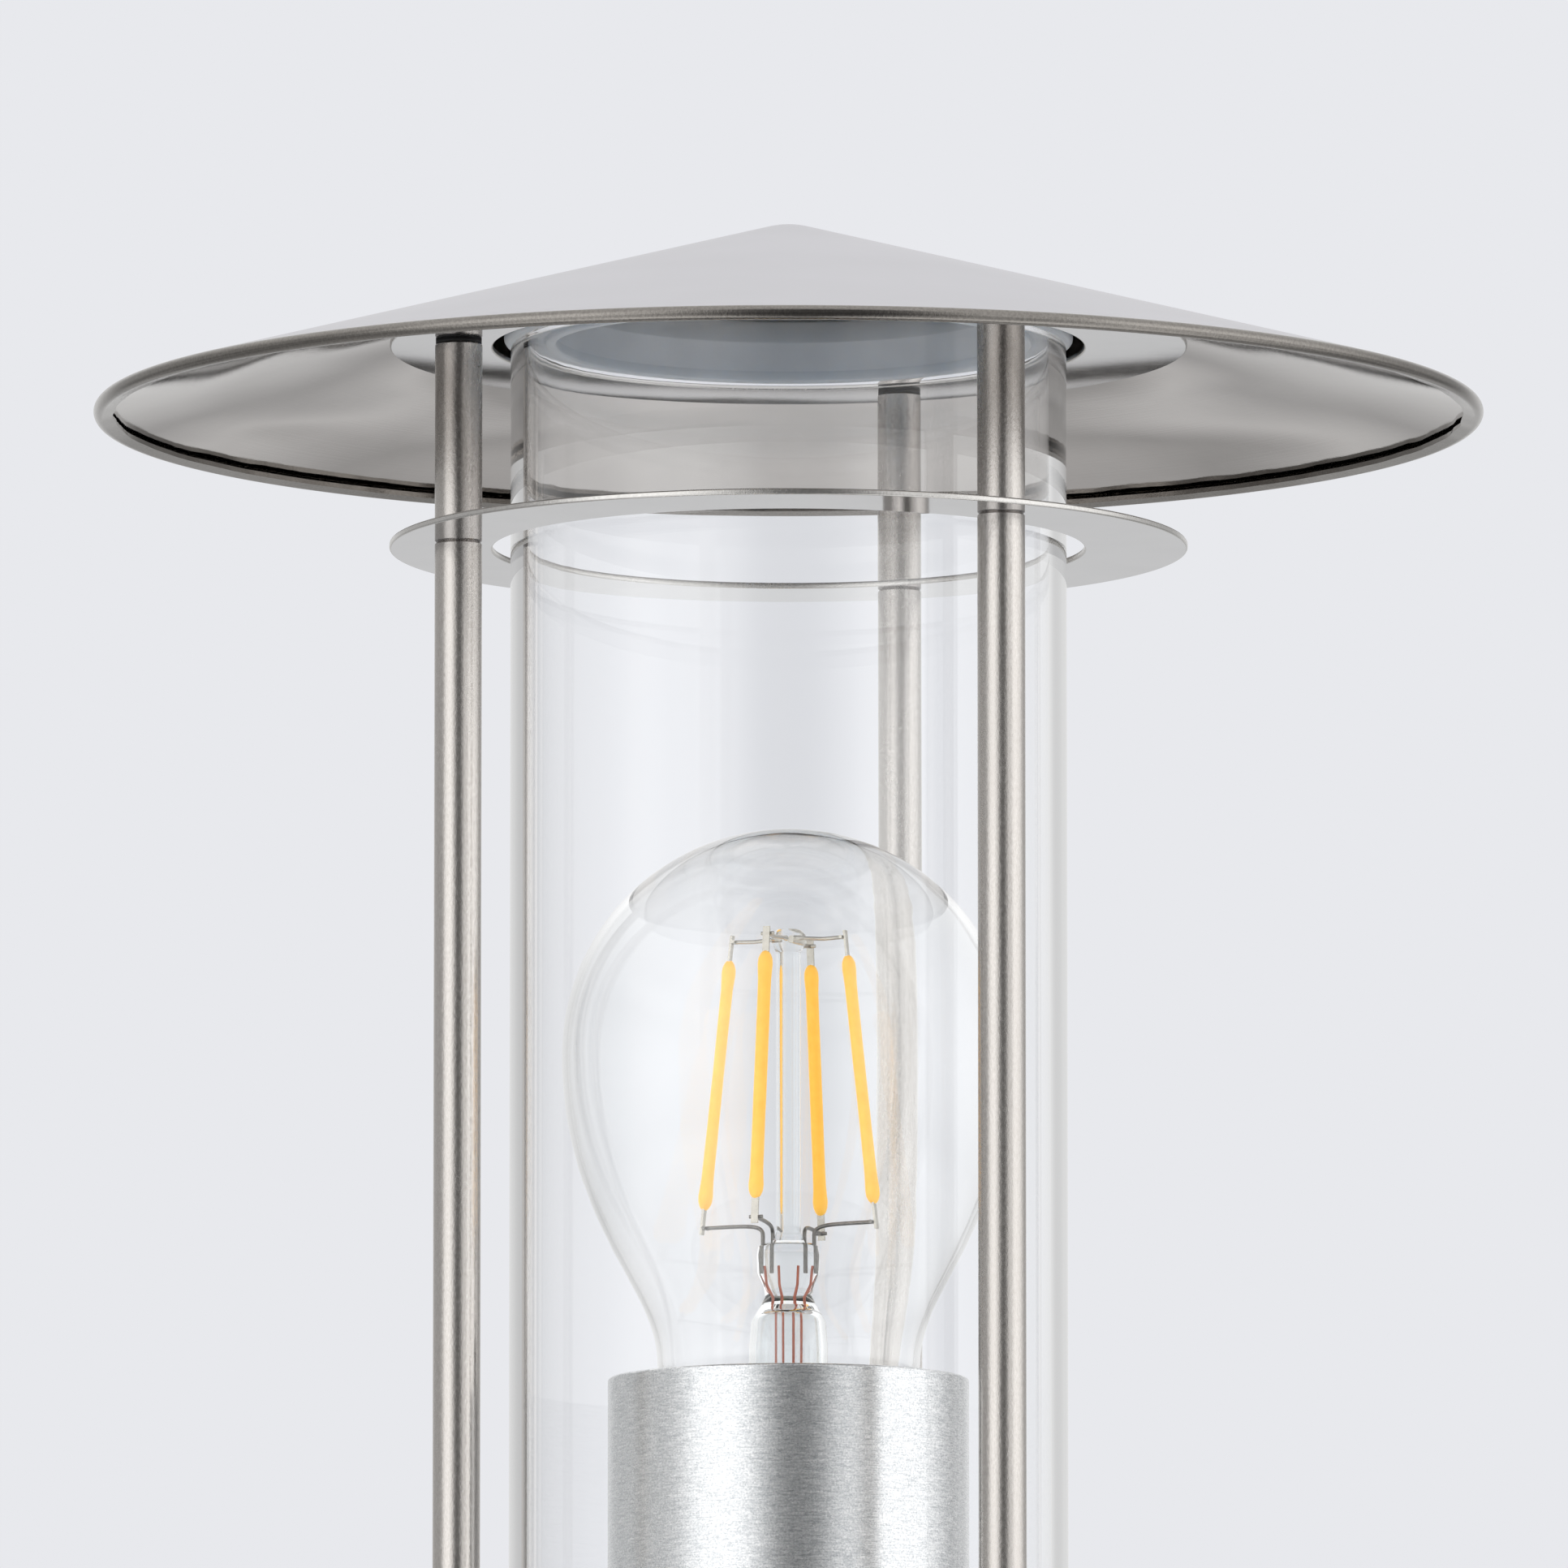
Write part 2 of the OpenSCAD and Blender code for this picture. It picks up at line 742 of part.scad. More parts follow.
// A point in the hem's own frame: x runs down the slope from the fold's centre, y square to the sheet
function hem_point(x, y) = [
    hem_centre_r + x * cos(hood_slope) + y * sin(hood_slope),
    cone_z(hem_centre_r) - hem_h / 2 / cos(hood_slope) - x * sin(hood_slope) + y * cos(hood_slope)];
function hem_fold(r, from, to) = [for (i = [0:fold_steps])
    let (a = from + (to - from) * i / fold_steps) hem_point(r * cos(a), r * sin(a))];
function tip_curve(r, from, to) = [for (i = [0:tip_steps])
    let (a = from + (to - from) * i / tip_steps)
        [r * sin(a), apex_z - tip_r / cos(hood_slope) + r * cos(a)]];
fold_steps = 12; // straight pieces in the fold's outline
tip_steps = 8; // straight pieces in the tip's outline

module hood() {
    leg = hem_w - hem_h / 2;
    color(STEEL)
        rotate_extrude($fn = 180)
            polygon(concat(
                tip_curve(tip_r, 0, hood_slope),
                hem_fold(hem_h / 2, 90, -90),
                [hem_point(-leg, -hem_h / 2), hem_point(-leg, -hem_gap / 2)],
                hem_fold(hem_gap / 2, -90, 90),
                tip_curve(tip_r - hood_t, hood_slope, 0)));
}

// ---- bulb

// Half outline of the bulb's glass, shrunk inwards by inset, from its top to the foot of its neck
function bulb_outline(inset) = let (
        r = bulb_r - inset,
        centre_z = bulb_top_z - bulb_r,
        neck_z = bulb_top_z - neck_drop,
        fall = centre_z - neck_z,
        shoulder = [[r, centre_z], [r, centre_z - 0.55 * fall], [neck_r - inset, centre_z - 0.75 * fall],
            [neck_r - inset, neck_z]],
        foot_z = seat_z + cap_h,
        foot = [[neck_r - inset, neck_z], [neck_r - inset, neck_z - 3], [neck_foot_r - inset, foot_z + 3],
            [neck_foot_r - inset, foot_z]]
    ) concat(
        [for (i = [0:curve_steps]) let (a = 90 * (1 - i / curve_steps))
            [r * cos(a), centre_z + r * sin(a)]],
        [for (i = [1:curve_steps]) bezier(shoulder, i / curve_steps)],
        [for (i = [1:curve_steps / 2]) bezier(foot, i / (curve_steps / 2))],
        [[neck_foot_r - inset, seat_z + cap_skirt_z + 2 * cap_lead_in]]
    );

module bulb_glass() {
    color(CLEAR)
        rotate_extrude($fn = 128)
            polygon(concat(bulb_outline(0), turned_round(bulb_outline(bulb_wall))));
}

module bulb_stem() {
    flare_r = neck_foot_r - bulb_wall - turn;
    bore = stem_tube_r - stem_tube_wall;
    color(CLEAR)
        translate([0, 0, seat_z]) {
            rotate_extrude($fn = 64)
                polygon([[flare_r - 1, stem_flare_z], [flare_r, stem_flare_z],
                    [stem_tube_r, stem_tube_z], [stem_tube_r, stem_pinch_z - 1.5],
                    [stem_tube_r - 1.5, stem_pinch_z], [0, stem_pinch_z],
                    [0, stem_pinch_z - stem_tube_wall], [bore, stem_pinch_z - 2],
                    [bore, stem_tube_z - 0.5]]);
            rotate(press_angle) translate([-pinch_w / 2, -pinch_t / 2, stem_pinch_z])
                cube([pinch_w, pinch_t, stem_rod_z - stem_pinch_z]);
            bar(stem_rod_r, stem_top_z - stem_rod_z, stem_rod_z, $fn = 32);
            translate([0, 0, stem_top_z - 1]) rotate_extrude($fn = 32)
                polygon([[0, 0], [stem_bead_r - 0.5, 0], [stem_bead_r, 0.8], [stem_bead_r, 2],
                    [stem_bead_r - 0.5, 2.8], [0, 2.8]]);
        }
}

// The line that filament i follows, from its top to its bottom
filament_fall = sqrt(pow(filament_len, 2) - pow(filament_bottom_r - filament_top_r, 2));
filament_tilt = atan2(filament_bottom_r - filament_top_r, filament_fall);
function filament_top(i) = let (a = FILAMENT_ANGLES[i])
    [filament_top_r * cos(a), filament_top_r * sin(a), seat_z + filament_top_z];
function filament_bottom(i) = let (a = FILAMENT_ANGLES[i])
    [filament_bottom_r * cos(a), filament_bottom_r * sin(a), seat_z + filament_top_z - filament_fall];

module along_filament(i) {
    translate(filament_top(i)) rotate([0, 180 - filament_tilt, FILAMENT_ANGLES[i]])
        children();
}

module filament(i) {
    body_h = filament_len - 2 * strip_len;
    color(PHOSPHOR)
        along_filament(i) translate([0, 0, strip_len]) rotate_extrude($fn = 24)
            polygon([[0, 0], [0.5, 0.1], [filament_r, 1.2], [filament_r, body_h - 1.2],
                [0.5, body_h - 0.1], [0, body_h]]);
}

module filament_strips() {
    color(NICKEL)
        for (i = [0:3]) along_filament(i) for (z = [0, filament_len - strip_len])
            translate([-strip_t / 2, -strip_w / 2, z]) cube([strip_t, strip_w, strip_len]);
}

// Each wire meets its strip on the side that faces the stem
function off_strip(p) = let (flat = [p[0], p[1], 0]) p - unit(flat) * (strip_t / 2 + wire_r + 0.05);

module support_wires() {
    color(NICKEL)
        for (pair = [[0, 1], [2, 3]]) {
            bead = [0, 0, seat_z + stem_top_z + 0.4];
            for (i = pair) {
                tip = off_strip(filament_top(i) - [0, 0, 1]);
                bar_between(bead + unit([tip[0], tip[1], 0]) * stem_bead_r, tip, wire_r);
            }
        }
}

// The wires leave the press in a row across its width, outside the central rod
PRESS_PLACES = [3.6, 2.4, -3.6, -2.4];

module lead_wires() {
    press_z = seat_z + stem_rod_z;
    color(NICKEL)
        for (i = [0:3]) {
            foot = [PRESS_PLACES[i] * cos(press_angle), PRESS_PLACES[i] * sin(press_angle), press_z];
            knee = foot + [0, 0, 1.6];
            bar_between(off_strip(filament_bottom(i) + [0, 0, 1]), knee, wire_r);
            bar_between(foot, knee, wire_r);
            translate(knee) sphere(r = knee_r, $fn = 24);
        }
}

module bulb_cap() {
    thread_h = cap_skirt_z - cap_thread_z;
    outer = thread_line(cap_crest_r, thread_h, 0);
    inner = thread_line(cap_crest_r, thread_h, -cap_wall);
    skirt_r = cap_crest_r - cap_thread_depth / 2;
    lip = [[skirt_r, thread_h + cap_lead_in], [skirt_r, cap_h - cap_thread_z],
        [skirt_r - cap_wall, cap_h - cap_thread_z], [skirt_r - cap_wall, thread_h + cap_lead_in]];
    color(NICKEL)
        translate([0, 0, seat_z + cap_thread_z])
            rotate_extrude() polygon(concat(outer, lip, turned_round(inner)));
}

module cap_insulator() {
    rim_r = cap_crest_r - cap_wall;
    edge_h = 1.2;
    color([0.05, 0.05, 0.06])
        translate([0, 0, seat_z]) rotate_extrude()
            polygon([[3, 1.2], [6, 1.2], [rim_r, cap_thread_z], [rim_r - edge_h, cap_thread_z + edge_h],
                [3, cap_thread_z + edge_h]]);
}

module cap_contact() {
    color(NICKEL)
        translate([0, 0, seat_z]) rotate_extrude($fn = 48)
            polygon([[0, 0], [3.6, 0], [4.6, 0.8], [4.6, 1.2], [0, 1.2]]);
}

module bulb_driver() {
    color([0.1, 0.35, 0.15])
        translate([0, 0, seat_z + cap_thread_z + 1.2]) {
            translate([-7.5, -0.8, 0]) cube([15, 1.6, 12]);
            translate([-3, 0.8, 3]) cube([6, 5, 6]);
            translate([2, -4.8, 2]) cube([4, 4, 8]);
        }
}

// ---- all pieces

foot_gasket();
foot_plate();
cable_grommet();
pedestal_tube();
spigot();
spigot_screws();
terminal_bracket();
bracket_nut();
terminal_block();
terminal_clamps();
terminal_screws();
earth_screw();
live_lead();
neutral_lead();
earth_lead();
base_plate();
nut_washers();
thumb_nut(ROD_BACK);  // thumb_nut_back
thumb_nut(ROD_LEFT);  // thumb_nut_left
thumb_nut(ROD_RIGHT);  // thumb_nut_right
base_seal();
nipple();
nipple_nut();
holder_bracket();
holder_cup();
holder_body();
screw_shell();
centre_contact();
holder_terminals();
holder_screws();
glass_tube();
rod(ROD_BACK);  // rod_back
rod(ROD_LEFT);  // rod_left
rod(ROD_RIGHT);  // rod_right
rod_end_studs();
lower_ring();
joining_studs();
spacer(ROD_BACK);  // spacer_back
spacer(ROD_LEFT);  // spacer_left
spacer(ROD_RIGHT);  // spacer_right
rod_washers();
ring_studs();
upper_ring();
hood_tacks();
top_seal();
hood();
bulb_glass();
bulb_stem();
filament(0);  // filament_1
filament(1);  // filament_2
filament(2);  // filament_3
filament(3);  // filament_4
filament_strips();
support_wires();
lead_wires();
bulb_cap();
cap_insulator();
cap_contact();
bulb_driver();
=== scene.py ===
import math

import bmesh
import bpy
from mathutils import Matrix, Vector, noise


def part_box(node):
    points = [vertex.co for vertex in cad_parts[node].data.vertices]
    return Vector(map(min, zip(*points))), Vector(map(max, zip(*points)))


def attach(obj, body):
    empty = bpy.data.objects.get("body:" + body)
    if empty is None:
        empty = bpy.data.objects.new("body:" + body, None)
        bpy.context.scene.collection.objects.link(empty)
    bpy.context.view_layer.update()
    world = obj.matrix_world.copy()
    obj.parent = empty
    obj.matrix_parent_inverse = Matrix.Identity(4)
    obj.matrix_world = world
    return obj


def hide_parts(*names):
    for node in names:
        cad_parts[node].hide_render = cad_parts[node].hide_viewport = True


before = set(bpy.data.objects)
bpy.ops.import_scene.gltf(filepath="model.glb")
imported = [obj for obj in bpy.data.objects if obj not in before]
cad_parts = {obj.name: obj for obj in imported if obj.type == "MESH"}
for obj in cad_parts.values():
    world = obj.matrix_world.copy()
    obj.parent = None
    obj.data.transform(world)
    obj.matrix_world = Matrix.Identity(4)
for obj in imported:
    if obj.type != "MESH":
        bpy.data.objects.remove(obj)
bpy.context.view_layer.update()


# ---- Rubber sheet under the foot
# A round sheet punched from black EPDM rubber. It seals the foot to the slab, and the ground bolts
# pass through it.

mm = 0.001


def linear(code):
    """An sRGB hex colour as linear RGBA."""
    parts = [int(code[i:i + 2], 16) / 255 for i in (0, 2, 4)]
    return [p / 12.92 if p <= 0.04045 else ((p + 0.055) / 1.055) ** 2.4 for p in parts] + [1.0]


def join(tree, value, socket):
    """Gives a socket a value, or links it to an output. A node stands for its first output in use."""
    if isinstance(value, bpy.types.Node):
        value = next(output for output in value.outputs if output.enabled)
    if isinstance(value, bpy.types.NodeSocket):
        tree.links.new(value, socket)
    else:
        socket.default_value = value


def add(tree, kind, sockets=None, **settings):
    """Adds a node with its settings, and gives its sockets what they need."""
    node = tree.nodes.new(kind)
    for key, value in settings.items():
        setattr(node, key, value)
    for key, value in (sockets or {}).items():
        join(tree, value, node.inputs[key])
    return node


def new_finish(name):
    """A material, its node tree, and the object coordinates that its patterns start from."""
    material = bpy.data.materials.new(name)
    material.use_nodes = True
    tree = material.node_tree
    return material, tree, add(tree, "ShaderNodeTexCoord").outputs["Object"]


def surface(tree, **sockets):
    """Gives the shader's sockets their values; an underscore stands for a space in a socket's name."""
    for key, value in sockets.items():
        join(tree, value, tree.nodes["Principled BSDF"].inputs[key.replace("_", " ")])


def pattern_surface(tree, tint_by, colours, rough_by, rough, relief=None, depth=0.0, strength=0.5, under=None,
                    **even):
    """Leads the colour and the roughness between two ends by patterns, and adds relief, depth in mm.

    under is a coarser relief. even holds the shader's sockets that stay the same all over.
    """
    ends = [linear(end) if isinstance(end, str) else end for end in colours]
    tint = add(tree, "ShaderNodeMix", {0: tint_by, 6: ends[0], 7: ends[1]}, data_type="RGBA")
    spread = add(tree, "ShaderNodeMapRange", {"Value": rough_by, "To Min": rough[0], "To Max": rough[1]})
    surface(tree, Base_Color=tint, Roughness=spread, **even)
    if relief is not None:
        bump = add(tree, "ShaderNodeBump", {"Height": relief, "Distance": depth * mm, "Strength": strength})
        if under is not None:
            join(tree, under, bump.inputs["Normal"])
        surface(tree, Normal=bump)


def dress(node, material, edge=0.15):
    """Gives a CAD part its finish, and breaks its sharp edges by edge millimetres."""
    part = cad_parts[node]
    part.data.materials.clear()
    part.data.materials.append(material)
    part.data.polygons.foreach_set("use_smooth", [True] * len(part.data.polygons))
    part.modifiers.new("weld", "WELD").merge_threshold = 1e-6
    flats = part.modifiers.new("flats", "DECIMATE")
    flats.decimate_type = "DISSOLVE"
    flats.angle_limit = math.radians(0.6)
    if edge:
        broken = part.modifiers.new("broken_edge", "BEVEL")
        broken.width = edge * mm
        broken.segments = 2
        broken.limit_method = "ANGLE"
        broken.angle_limit = math.radians(34)
    part.modifiers.new("shading", "WEIGHTED_NORMAL").keep_sharp = True
    return part


def black_rubber():
    # EPDM cut from sheet: charcoal, matt, with a fine press texture and a little pale dust
    material, tree, place = new_finish("moulded_black_rubber")
    grain = add(tree, "ShaderNodeTexNoise", {"Vector": place, "Scale": 1 / (0.5 * mm), "Detail": 3.0})
    dust = add(tree, "ShaderNodeTexNoise", {"Vector": place, "Scale": 1 / (9 * mm), "Detail": 4.0})
    pale = add(tree, "ShaderNodeMapRange", {"Value": dust, "To Max": 0.7})
    pattern_surface(tree, pale, ("151516", "2b2b2a"), dust, (0.55, 0.8),
                    grain, 0.05, 0.6)
    return material


rubber = black_rubber()
dress("foot_gasket", rubber, 0.2)


# ---- Foot plate
# A laser-cut disc of 3 mm stainless steel with three bolt holes. Its face is ground in straight
# lines and its rim is broken by hand.

def satin_steel(name, colours, rough, stretch, grain=0.3, depth=0.02):
    # Stainless steel ground to a satin: warm grey, with a speckled grain drawn out along the work.
    # stretch squeezes the grain along X, Y and Z. The real grain of 0.1 mm is drawn at 0.3 mm.
    material, tree, place = new_finish(name)
    along = add(tree, "ShaderNodeMapping", {"Vector": place, "Scale": stretch})
    fine = add(tree, "ShaderNodeTexNoise", {"Vector": along, "Scale": 1 / (grain * mm), "Detail": 2.0,
                                            "Roughness": 0.7})
    broad = add(tree, "ShaderNodeTexNoise", {"Vector": along, "Scale": 1 / (14 * mm), "Detail": 3.0})
    wear = add(tree, "ShaderNodeMath", {0: fine, 1: broad}, operation="MULTIPLY")
    pattern_surface(tree, fine, colours, wear, rough, fine, depth, Metallic=1.0)
    return material


plate_steel = satin_steel("line_ground_stainless_plate", ("a9a7a3", "c6c4c0"), (0.24, 0.46), (1, 0.06, 1))
dress("foot_plate", plate_steel, 0.3)


# ---- Cable grommet
# A moulded black rubber grommet sprung into the foot plate's centre hole. The supply cable is pushed
# up through it.

dress("cable_grommet", rubber, 0.35)


# ---- Pedestal tube
# A length of thin-walled stainless tube, ground to a satin along its length. It is joined to the foot
# plate by a small fillet weld, brushed back after welding.

def outline(*corners):
    """Corners (radius, height) in metres, some with a third number, the fillet that rounds them."""
    points = []
    for i, corner in enumerate(corners):
        here = Vector(corner[:2])
        fillet = corner[2] if len(corner) > 2 else 0
        if not fillet:
            points.append(here)
            continue
        to_last = (Vector(corners[i - 1][:2]) - here).normalized()
        to_next = (Vector(corners[(i + 1) % len(corners)][:2]) - here).normalized()
        half = to_last.angle(to_next) / 2
        middle = here + (to_last + to_next).normalized() * fillet / math.sin(half)
        start = here + to_last * fillet / math.tan(half) - middle
        end = here + to_next * fillet / math.tan(half) - middle
        points += [middle + start.lerp(end, k / 4).normalized() * fillet for k in range(5)]
    return points


def turn(mesh, profile, around=192, centre=(0, 0), closed=True, at_angle=None, slots=None):
    """Turns a profile round a vertical axis. slots gives the material slot of each stretch of it."""
    rings = []
    for k, (r, z) in enumerate(map(Vector, profile)):
        if r < 1e-7:
            rings.append([mesh.verts.new((centre[0], centre[1], z))])
            continue
        ring = []
        for i in range(around):
            a = 2 * math.pi * i / around
            rr, zz = at_angle(k, r, z, a) if at_angle else (r, z)
            ring.append(mesh.verts.new((centre[0] + rr * math.cos(a), centre[1] + rr * math.sin(a), zz)))
        rings.append(ring)
    for k in range(len(rings) if closed else len(rings) - 1):
        low, high = rings[k], rings[(k + 1) % len(rings)]
        if len(low) == 1 and len(high) == 1:
            continue
        for i in range(around):
            j = (i + 1) % around
            loop = ([low[0], high[j], high[i]] if len(low) == 1 else
                    [low[i], low[j], high[0]] if len(high) == 1 else
                    [low[i], low[j], high[j], high[i]])
            mesh.faces.new(loop).material_index = slots[k] if slots else 0


def fitted(name, mesh, materials, body, stands_for=(), sharp=32):
    """Finishes a piece: normals out, smooth between sharp edges, fixed to its body."""
    bmesh.ops.recalc_face_normals(mesh, faces=mesh.faces)
    data = bpy.data.meshes.new(name)
    mesh.to_mesh(data)
    mesh.free()
    for material in materials if isinstance(materials, (list, tuple)) else [materials]:
        data.materials.append(material)
    data.polygons.foreach_set("use_smooth", [True] * len(data.polygons))
    data.set_sharp_from_angle(angle=math.radians(sharp))
    piece = bpy.data.objects.new(name, data)
    bpy.context.scene.collection.objects.link(piece)
    piece.modifiers.new("shading", "WEIGHTED_NORMAL").keep_sharp = True
    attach(piece, body)
    if stands_for:
        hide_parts(*([stands_for] if isinstance(stands_for, str) else stands_for))
    return piece


tube_low, tube_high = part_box("pedestal_tube")
tube_wall = 1.5 * mm
tube_steel = satin_steel("length_ground_stainless_tube", ("a8a6a2", "cbc9c5"), (0.22, 0.44), (1, 1, 0.12))
tube_mesh = bmesh.new()
turn(tube_mesh, outline((tube_high.x, tube_low.z), (tube_high.x, tube_high.z, 0.3 * mm),
                        (tube_high.x - tube_wall, tube_high.z, 0.3 * mm),
                        (tube_high.x - tube_wall, tube_low.z)))
fitted("pedestal_tube_ground", tube_mesh, tube_steel, "pedestal", "pedestal_tube")

weld_steel = satin_steel("brushed_weld_bead", ("8f8a83", "b9b5ae"), (0.25, 0.5), (1, 1, 1), 0.8, 0.08)
weld_mesh = bmesh.new()
ripple_gap = 2.8 * mm


def rippled(k, r, z, a):
    """The weld's face, points 1 to 3 of its outline, carries the ripples of its run."""
    lift = 0.12 * mm * math.sin(a * tube_high.x / ripple_gap * 2 * math.pi) if k in (1, 2, 3) else 0
    return r + lift, z


turn(weld_mesh, [(tube_high.x + out * mm, tube_low.z + up * mm)
                 for out, up in ((-0.3, 0.02), (2.2, 0.05), (1.5, 0.9), (0.7, 1.6), (-0.3, 2.3))],
     480, at_angle=rippled)
fitted("foot_weld", weld_mesh, weld_steel, "pedestal", sharp=70)


# ---- Spigot and its screws
# A thicker stainless ring under the head plugs into the tube, held by three button screws with
# hexagon sockets.

dress("spigot", plate_steel, 0.3)


def clouded(name, size, detail, colours, rough, depth=None, strength=0.5, stretch=None, **even):
    """A finish whose colour, sheen and relief all follow one pattern, with clouds of size mm."""
    material, tree, place = new_finish(name)
    if stretch:
        place = add(tree, "ShaderNodeMapping", {"Vector": place, "Scale": stretch})
    cloud = add(tree, "ShaderNodeTexNoise", {"Vector": place, "Scale": 1 / (size * mm), "Detail": detail})
    pattern_surface(tree, cloud, colours, cloud, rough, cloud if depth else None, depth, strength, **even)
    return material


# Nickel on steel: a slightly yellow, bright grey, with a barely uneven plating
nickel = clouded("nickel_plated_steel", 1.5, 3.0, ("a9a49a", "d2cec4"), (0.14, 0.34), 0.01, 0.4, Metallic=1.0)
dress("spigot_screws", nickel, 0.2)


# ---- Terminal bracket, nut and block
# A bent steel strap hangs inside the tube from the front screw and its nut. It carries a white
# moulded block with brass clamps, where the supply cable would be joined.

def moulded_plastic():
    # Injection-moulded polyamide: even colour with faint flow marks and a fine spark-eroded texture
    material, tree, place = new_finish("white_moulded_polyamide")
    flow = add(tree, "ShaderNodeTexNoise", {"Vector": place, "Scale": 1 / (6 * mm), "Detail": 2.0})
    spark = add(tree, "ShaderNodeTexNoise", {"Vector": place, "Scale": 1 / (0.25 * mm), "Detail": 1.0})
    pattern_surface(tree, flow, ("dedcd4", "ebe9e2"), flow, (0.42, 0.54), spark, 0.02)
    return material


# Free-cutting brass off the lathe: warm yellow, fine tool lines, a little dull at the low spots
brass = clouded("turned_brass", 0.2, 2.0, ("a98a45", "dcbd72"), (0.2, 0.4), 0.02, stretch=(0.2, 0.2, 1),
                Metallic=1.0)
dress("terminal_bracket", plate_steel, 0.15)
dress("bracket_nut", nickel, 0.2)
dress("terminal_block", moulded_plastic(), 0.25)
dress("terminal_clamps", brass, 0.1)
dress("terminal_screws", nickel, 0.05)
dress("earth_screw", brass, 0.15)


# ---- Leads
# Silicone-covered wires in brown, blue and green-yellow, from the lamp-holder down through the
# nipple to the terminal block. The earth lead goes from the block to the bracket's brass screw.

def insulation(name, colours, stripe=False):
    # Soft extruded insulation: a slight sheen, faint ripples along it, striped on the earth lead
    material, tree, place = new_finish(name)
    ripple = add(tree, "ShaderNodeTexNoise", {"Vector": place, "Scale": 1 / (0.8 * mm),
                                              "Detail": 2.0})
    tint_by = ripple
    if stripe:
        turned = add(tree, "ShaderNodeMapping", {"Vector": place, "Rotation": (0.5, 0.35, 0)})
        bands = add(tree, "ShaderNodeTexWave", {"Vector": turned, "Scale": 1 / (12 * mm)},
                    wave_type="BANDS", bands_direction="X").outputs["Fac"]
        tint_by = add(tree, "ShaderNodeMapRange", {"Value": bands, "From Min": 0.4,
                                                   "From Max": 0.6})
    pattern_surface(tree, tint_by, colours, ripple, (0.35, 0.5), ripple, 0.03, Coat_Weight=0.15)
    return material


dress("live_lead", insulation("brown_silicone_insulation", ("4a2614", "5c3019")), 0)
dress("neutral_lead", insulation("blue_silicone_insulation", ("1f4f9c", "2a5fb0")), 0)
dress("earth_lead", insulation("green_yellow_insulation", ("3d8a2c", "e0d23a"), True), 0)


# ---- Base plate
# A disc of 2 mm stainless steel under the glass, polished bright on top, with a satin rim. The rods'
# studs, the nipple and the spigot are fixed to it.

def mirror_steel():
    # Stainless sheet polished with a buff: nearly a mirror, with faint hairlines and a slow waviness
    # that comes from the sheet
    material, tree, place = new_finish("buffed_stainless_sheet")
    wave = add(tree, "ShaderNodeTexNoise", {"Vector": place, "Scale": 1 / (30 * mm), "Detail": 1.0})
    cloud = add(tree, "ShaderNodeTexNoise", {"Vector": place, "Scale": 1 / (8 * mm), "Detail": 5.0})
    drawn = add(tree, "ShaderNodeMapping", {"Vector": place, "Rotation": (0, 0, 0.6), "Scale": (0.05, 1, 1)})
    hair = add(tree, "ShaderNodeTexNoise", {"Vector": drawn, "Scale": 1 / (0.25 * mm),
                                            "Detail": 1.0})
    wear = add(tree, "ShaderNodeMath", {0: cloud, 1: hair}, operation="MULTIPLY")
    slow = add(tree, "ShaderNodeBump", {"Height": wave, "Distance": 0.05 * mm, "Strength": 0.5})
    pattern_surface(tree, cloud, ("c4c4c6", "d4d4d6"), wear, (0.05, 0.13), hair, 0.002, 0.3,
                    slow, Metallic=1.0)
    return material


ring_polish = mirror_steel()
cut_edge = satin_steel("sheared_stainless_edge", ("b9b7b4", "e0dedb"), (0.2, 0.4), (1, 1, 1), 0.35, 0.03)


def flat_disc(mesh, outer, inner, low, high, round_off):
    """A turned plate: bright faces in slot 0 and its edges in slot 1."""
    profile = outline((outer, low, round_off), (outer, high, round_off),
                      (inner, high, round_off), (inner, low, round_off))
    slots = [1 if 0 <= k < 9 or 10 <= k < 19 else 0 for k in range(len(profile))]
    turn(mesh, profile, 256, slots=slots)


base_low, base_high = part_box("base_plate")
nipple_hole = 5.2 * mm
base_mesh = bmesh.new()
flat_disc(base_mesh, base_high.x, nipple_hole, base_low.z, base_high.z, 0.35 * mm)
fitted("base_plate_polished", base_mesh, [ring_polish, cut_edge], "pedestal", "base_plate")


# ---- Lamp-holder
# A glazed porcelain body in a folded steel bracket, on a threaded nipple through the base plate. A
# rolled brass shell takes the bulb's screw, above a sprung brass contact.

def porcelain():
    # Glazed porcelain: warm white under a clear, slightly rippled glaze with a few dark specks
    material, tree, place = new_finish("glazed_porcelain")
    pool = add(tree, "ShaderNodeTexNoise", {"Vector": place, "Scale": 1 / (5 * mm), "Detail": 2.0})
    specks = add(tree, "ShaderNodeTexVoronoi", {"Vector": place, "Scale": 1 / (2.5 * mm)})
    clear = add(tree, "ShaderNodeMapRange", {"Value": specks, "From Min": 0.03, "From Max": 0.06})
    white = add(tree, "ShaderNodeMix", {0: pool, 6: linear("e6e2d6"), 7: linear("f2efe6")}, data_type="RGBA")
    pattern_surface(tree, clear, ("8a8070", white), pool, (0.12, 0.25), pool, 0.2, 0.3,
                    Coat_Weight=0.6, Coat_Roughness=0.05)
    return material


dress("nipple", nickel, 0.2)
dress("nipple_nut", nickel, 0.25)
dress("holder_bracket", plate_steel, 0.2)
dress("holder_body", porcelain(), 0.5)
dress("holder_screws", nickel, 0.2)
dress("holder_terminals", brass, 0.3)
dress("centre_contact", brass, 0.08)

thread_pitch = 3.629 * mm
thread_depth = 0.75 * mm


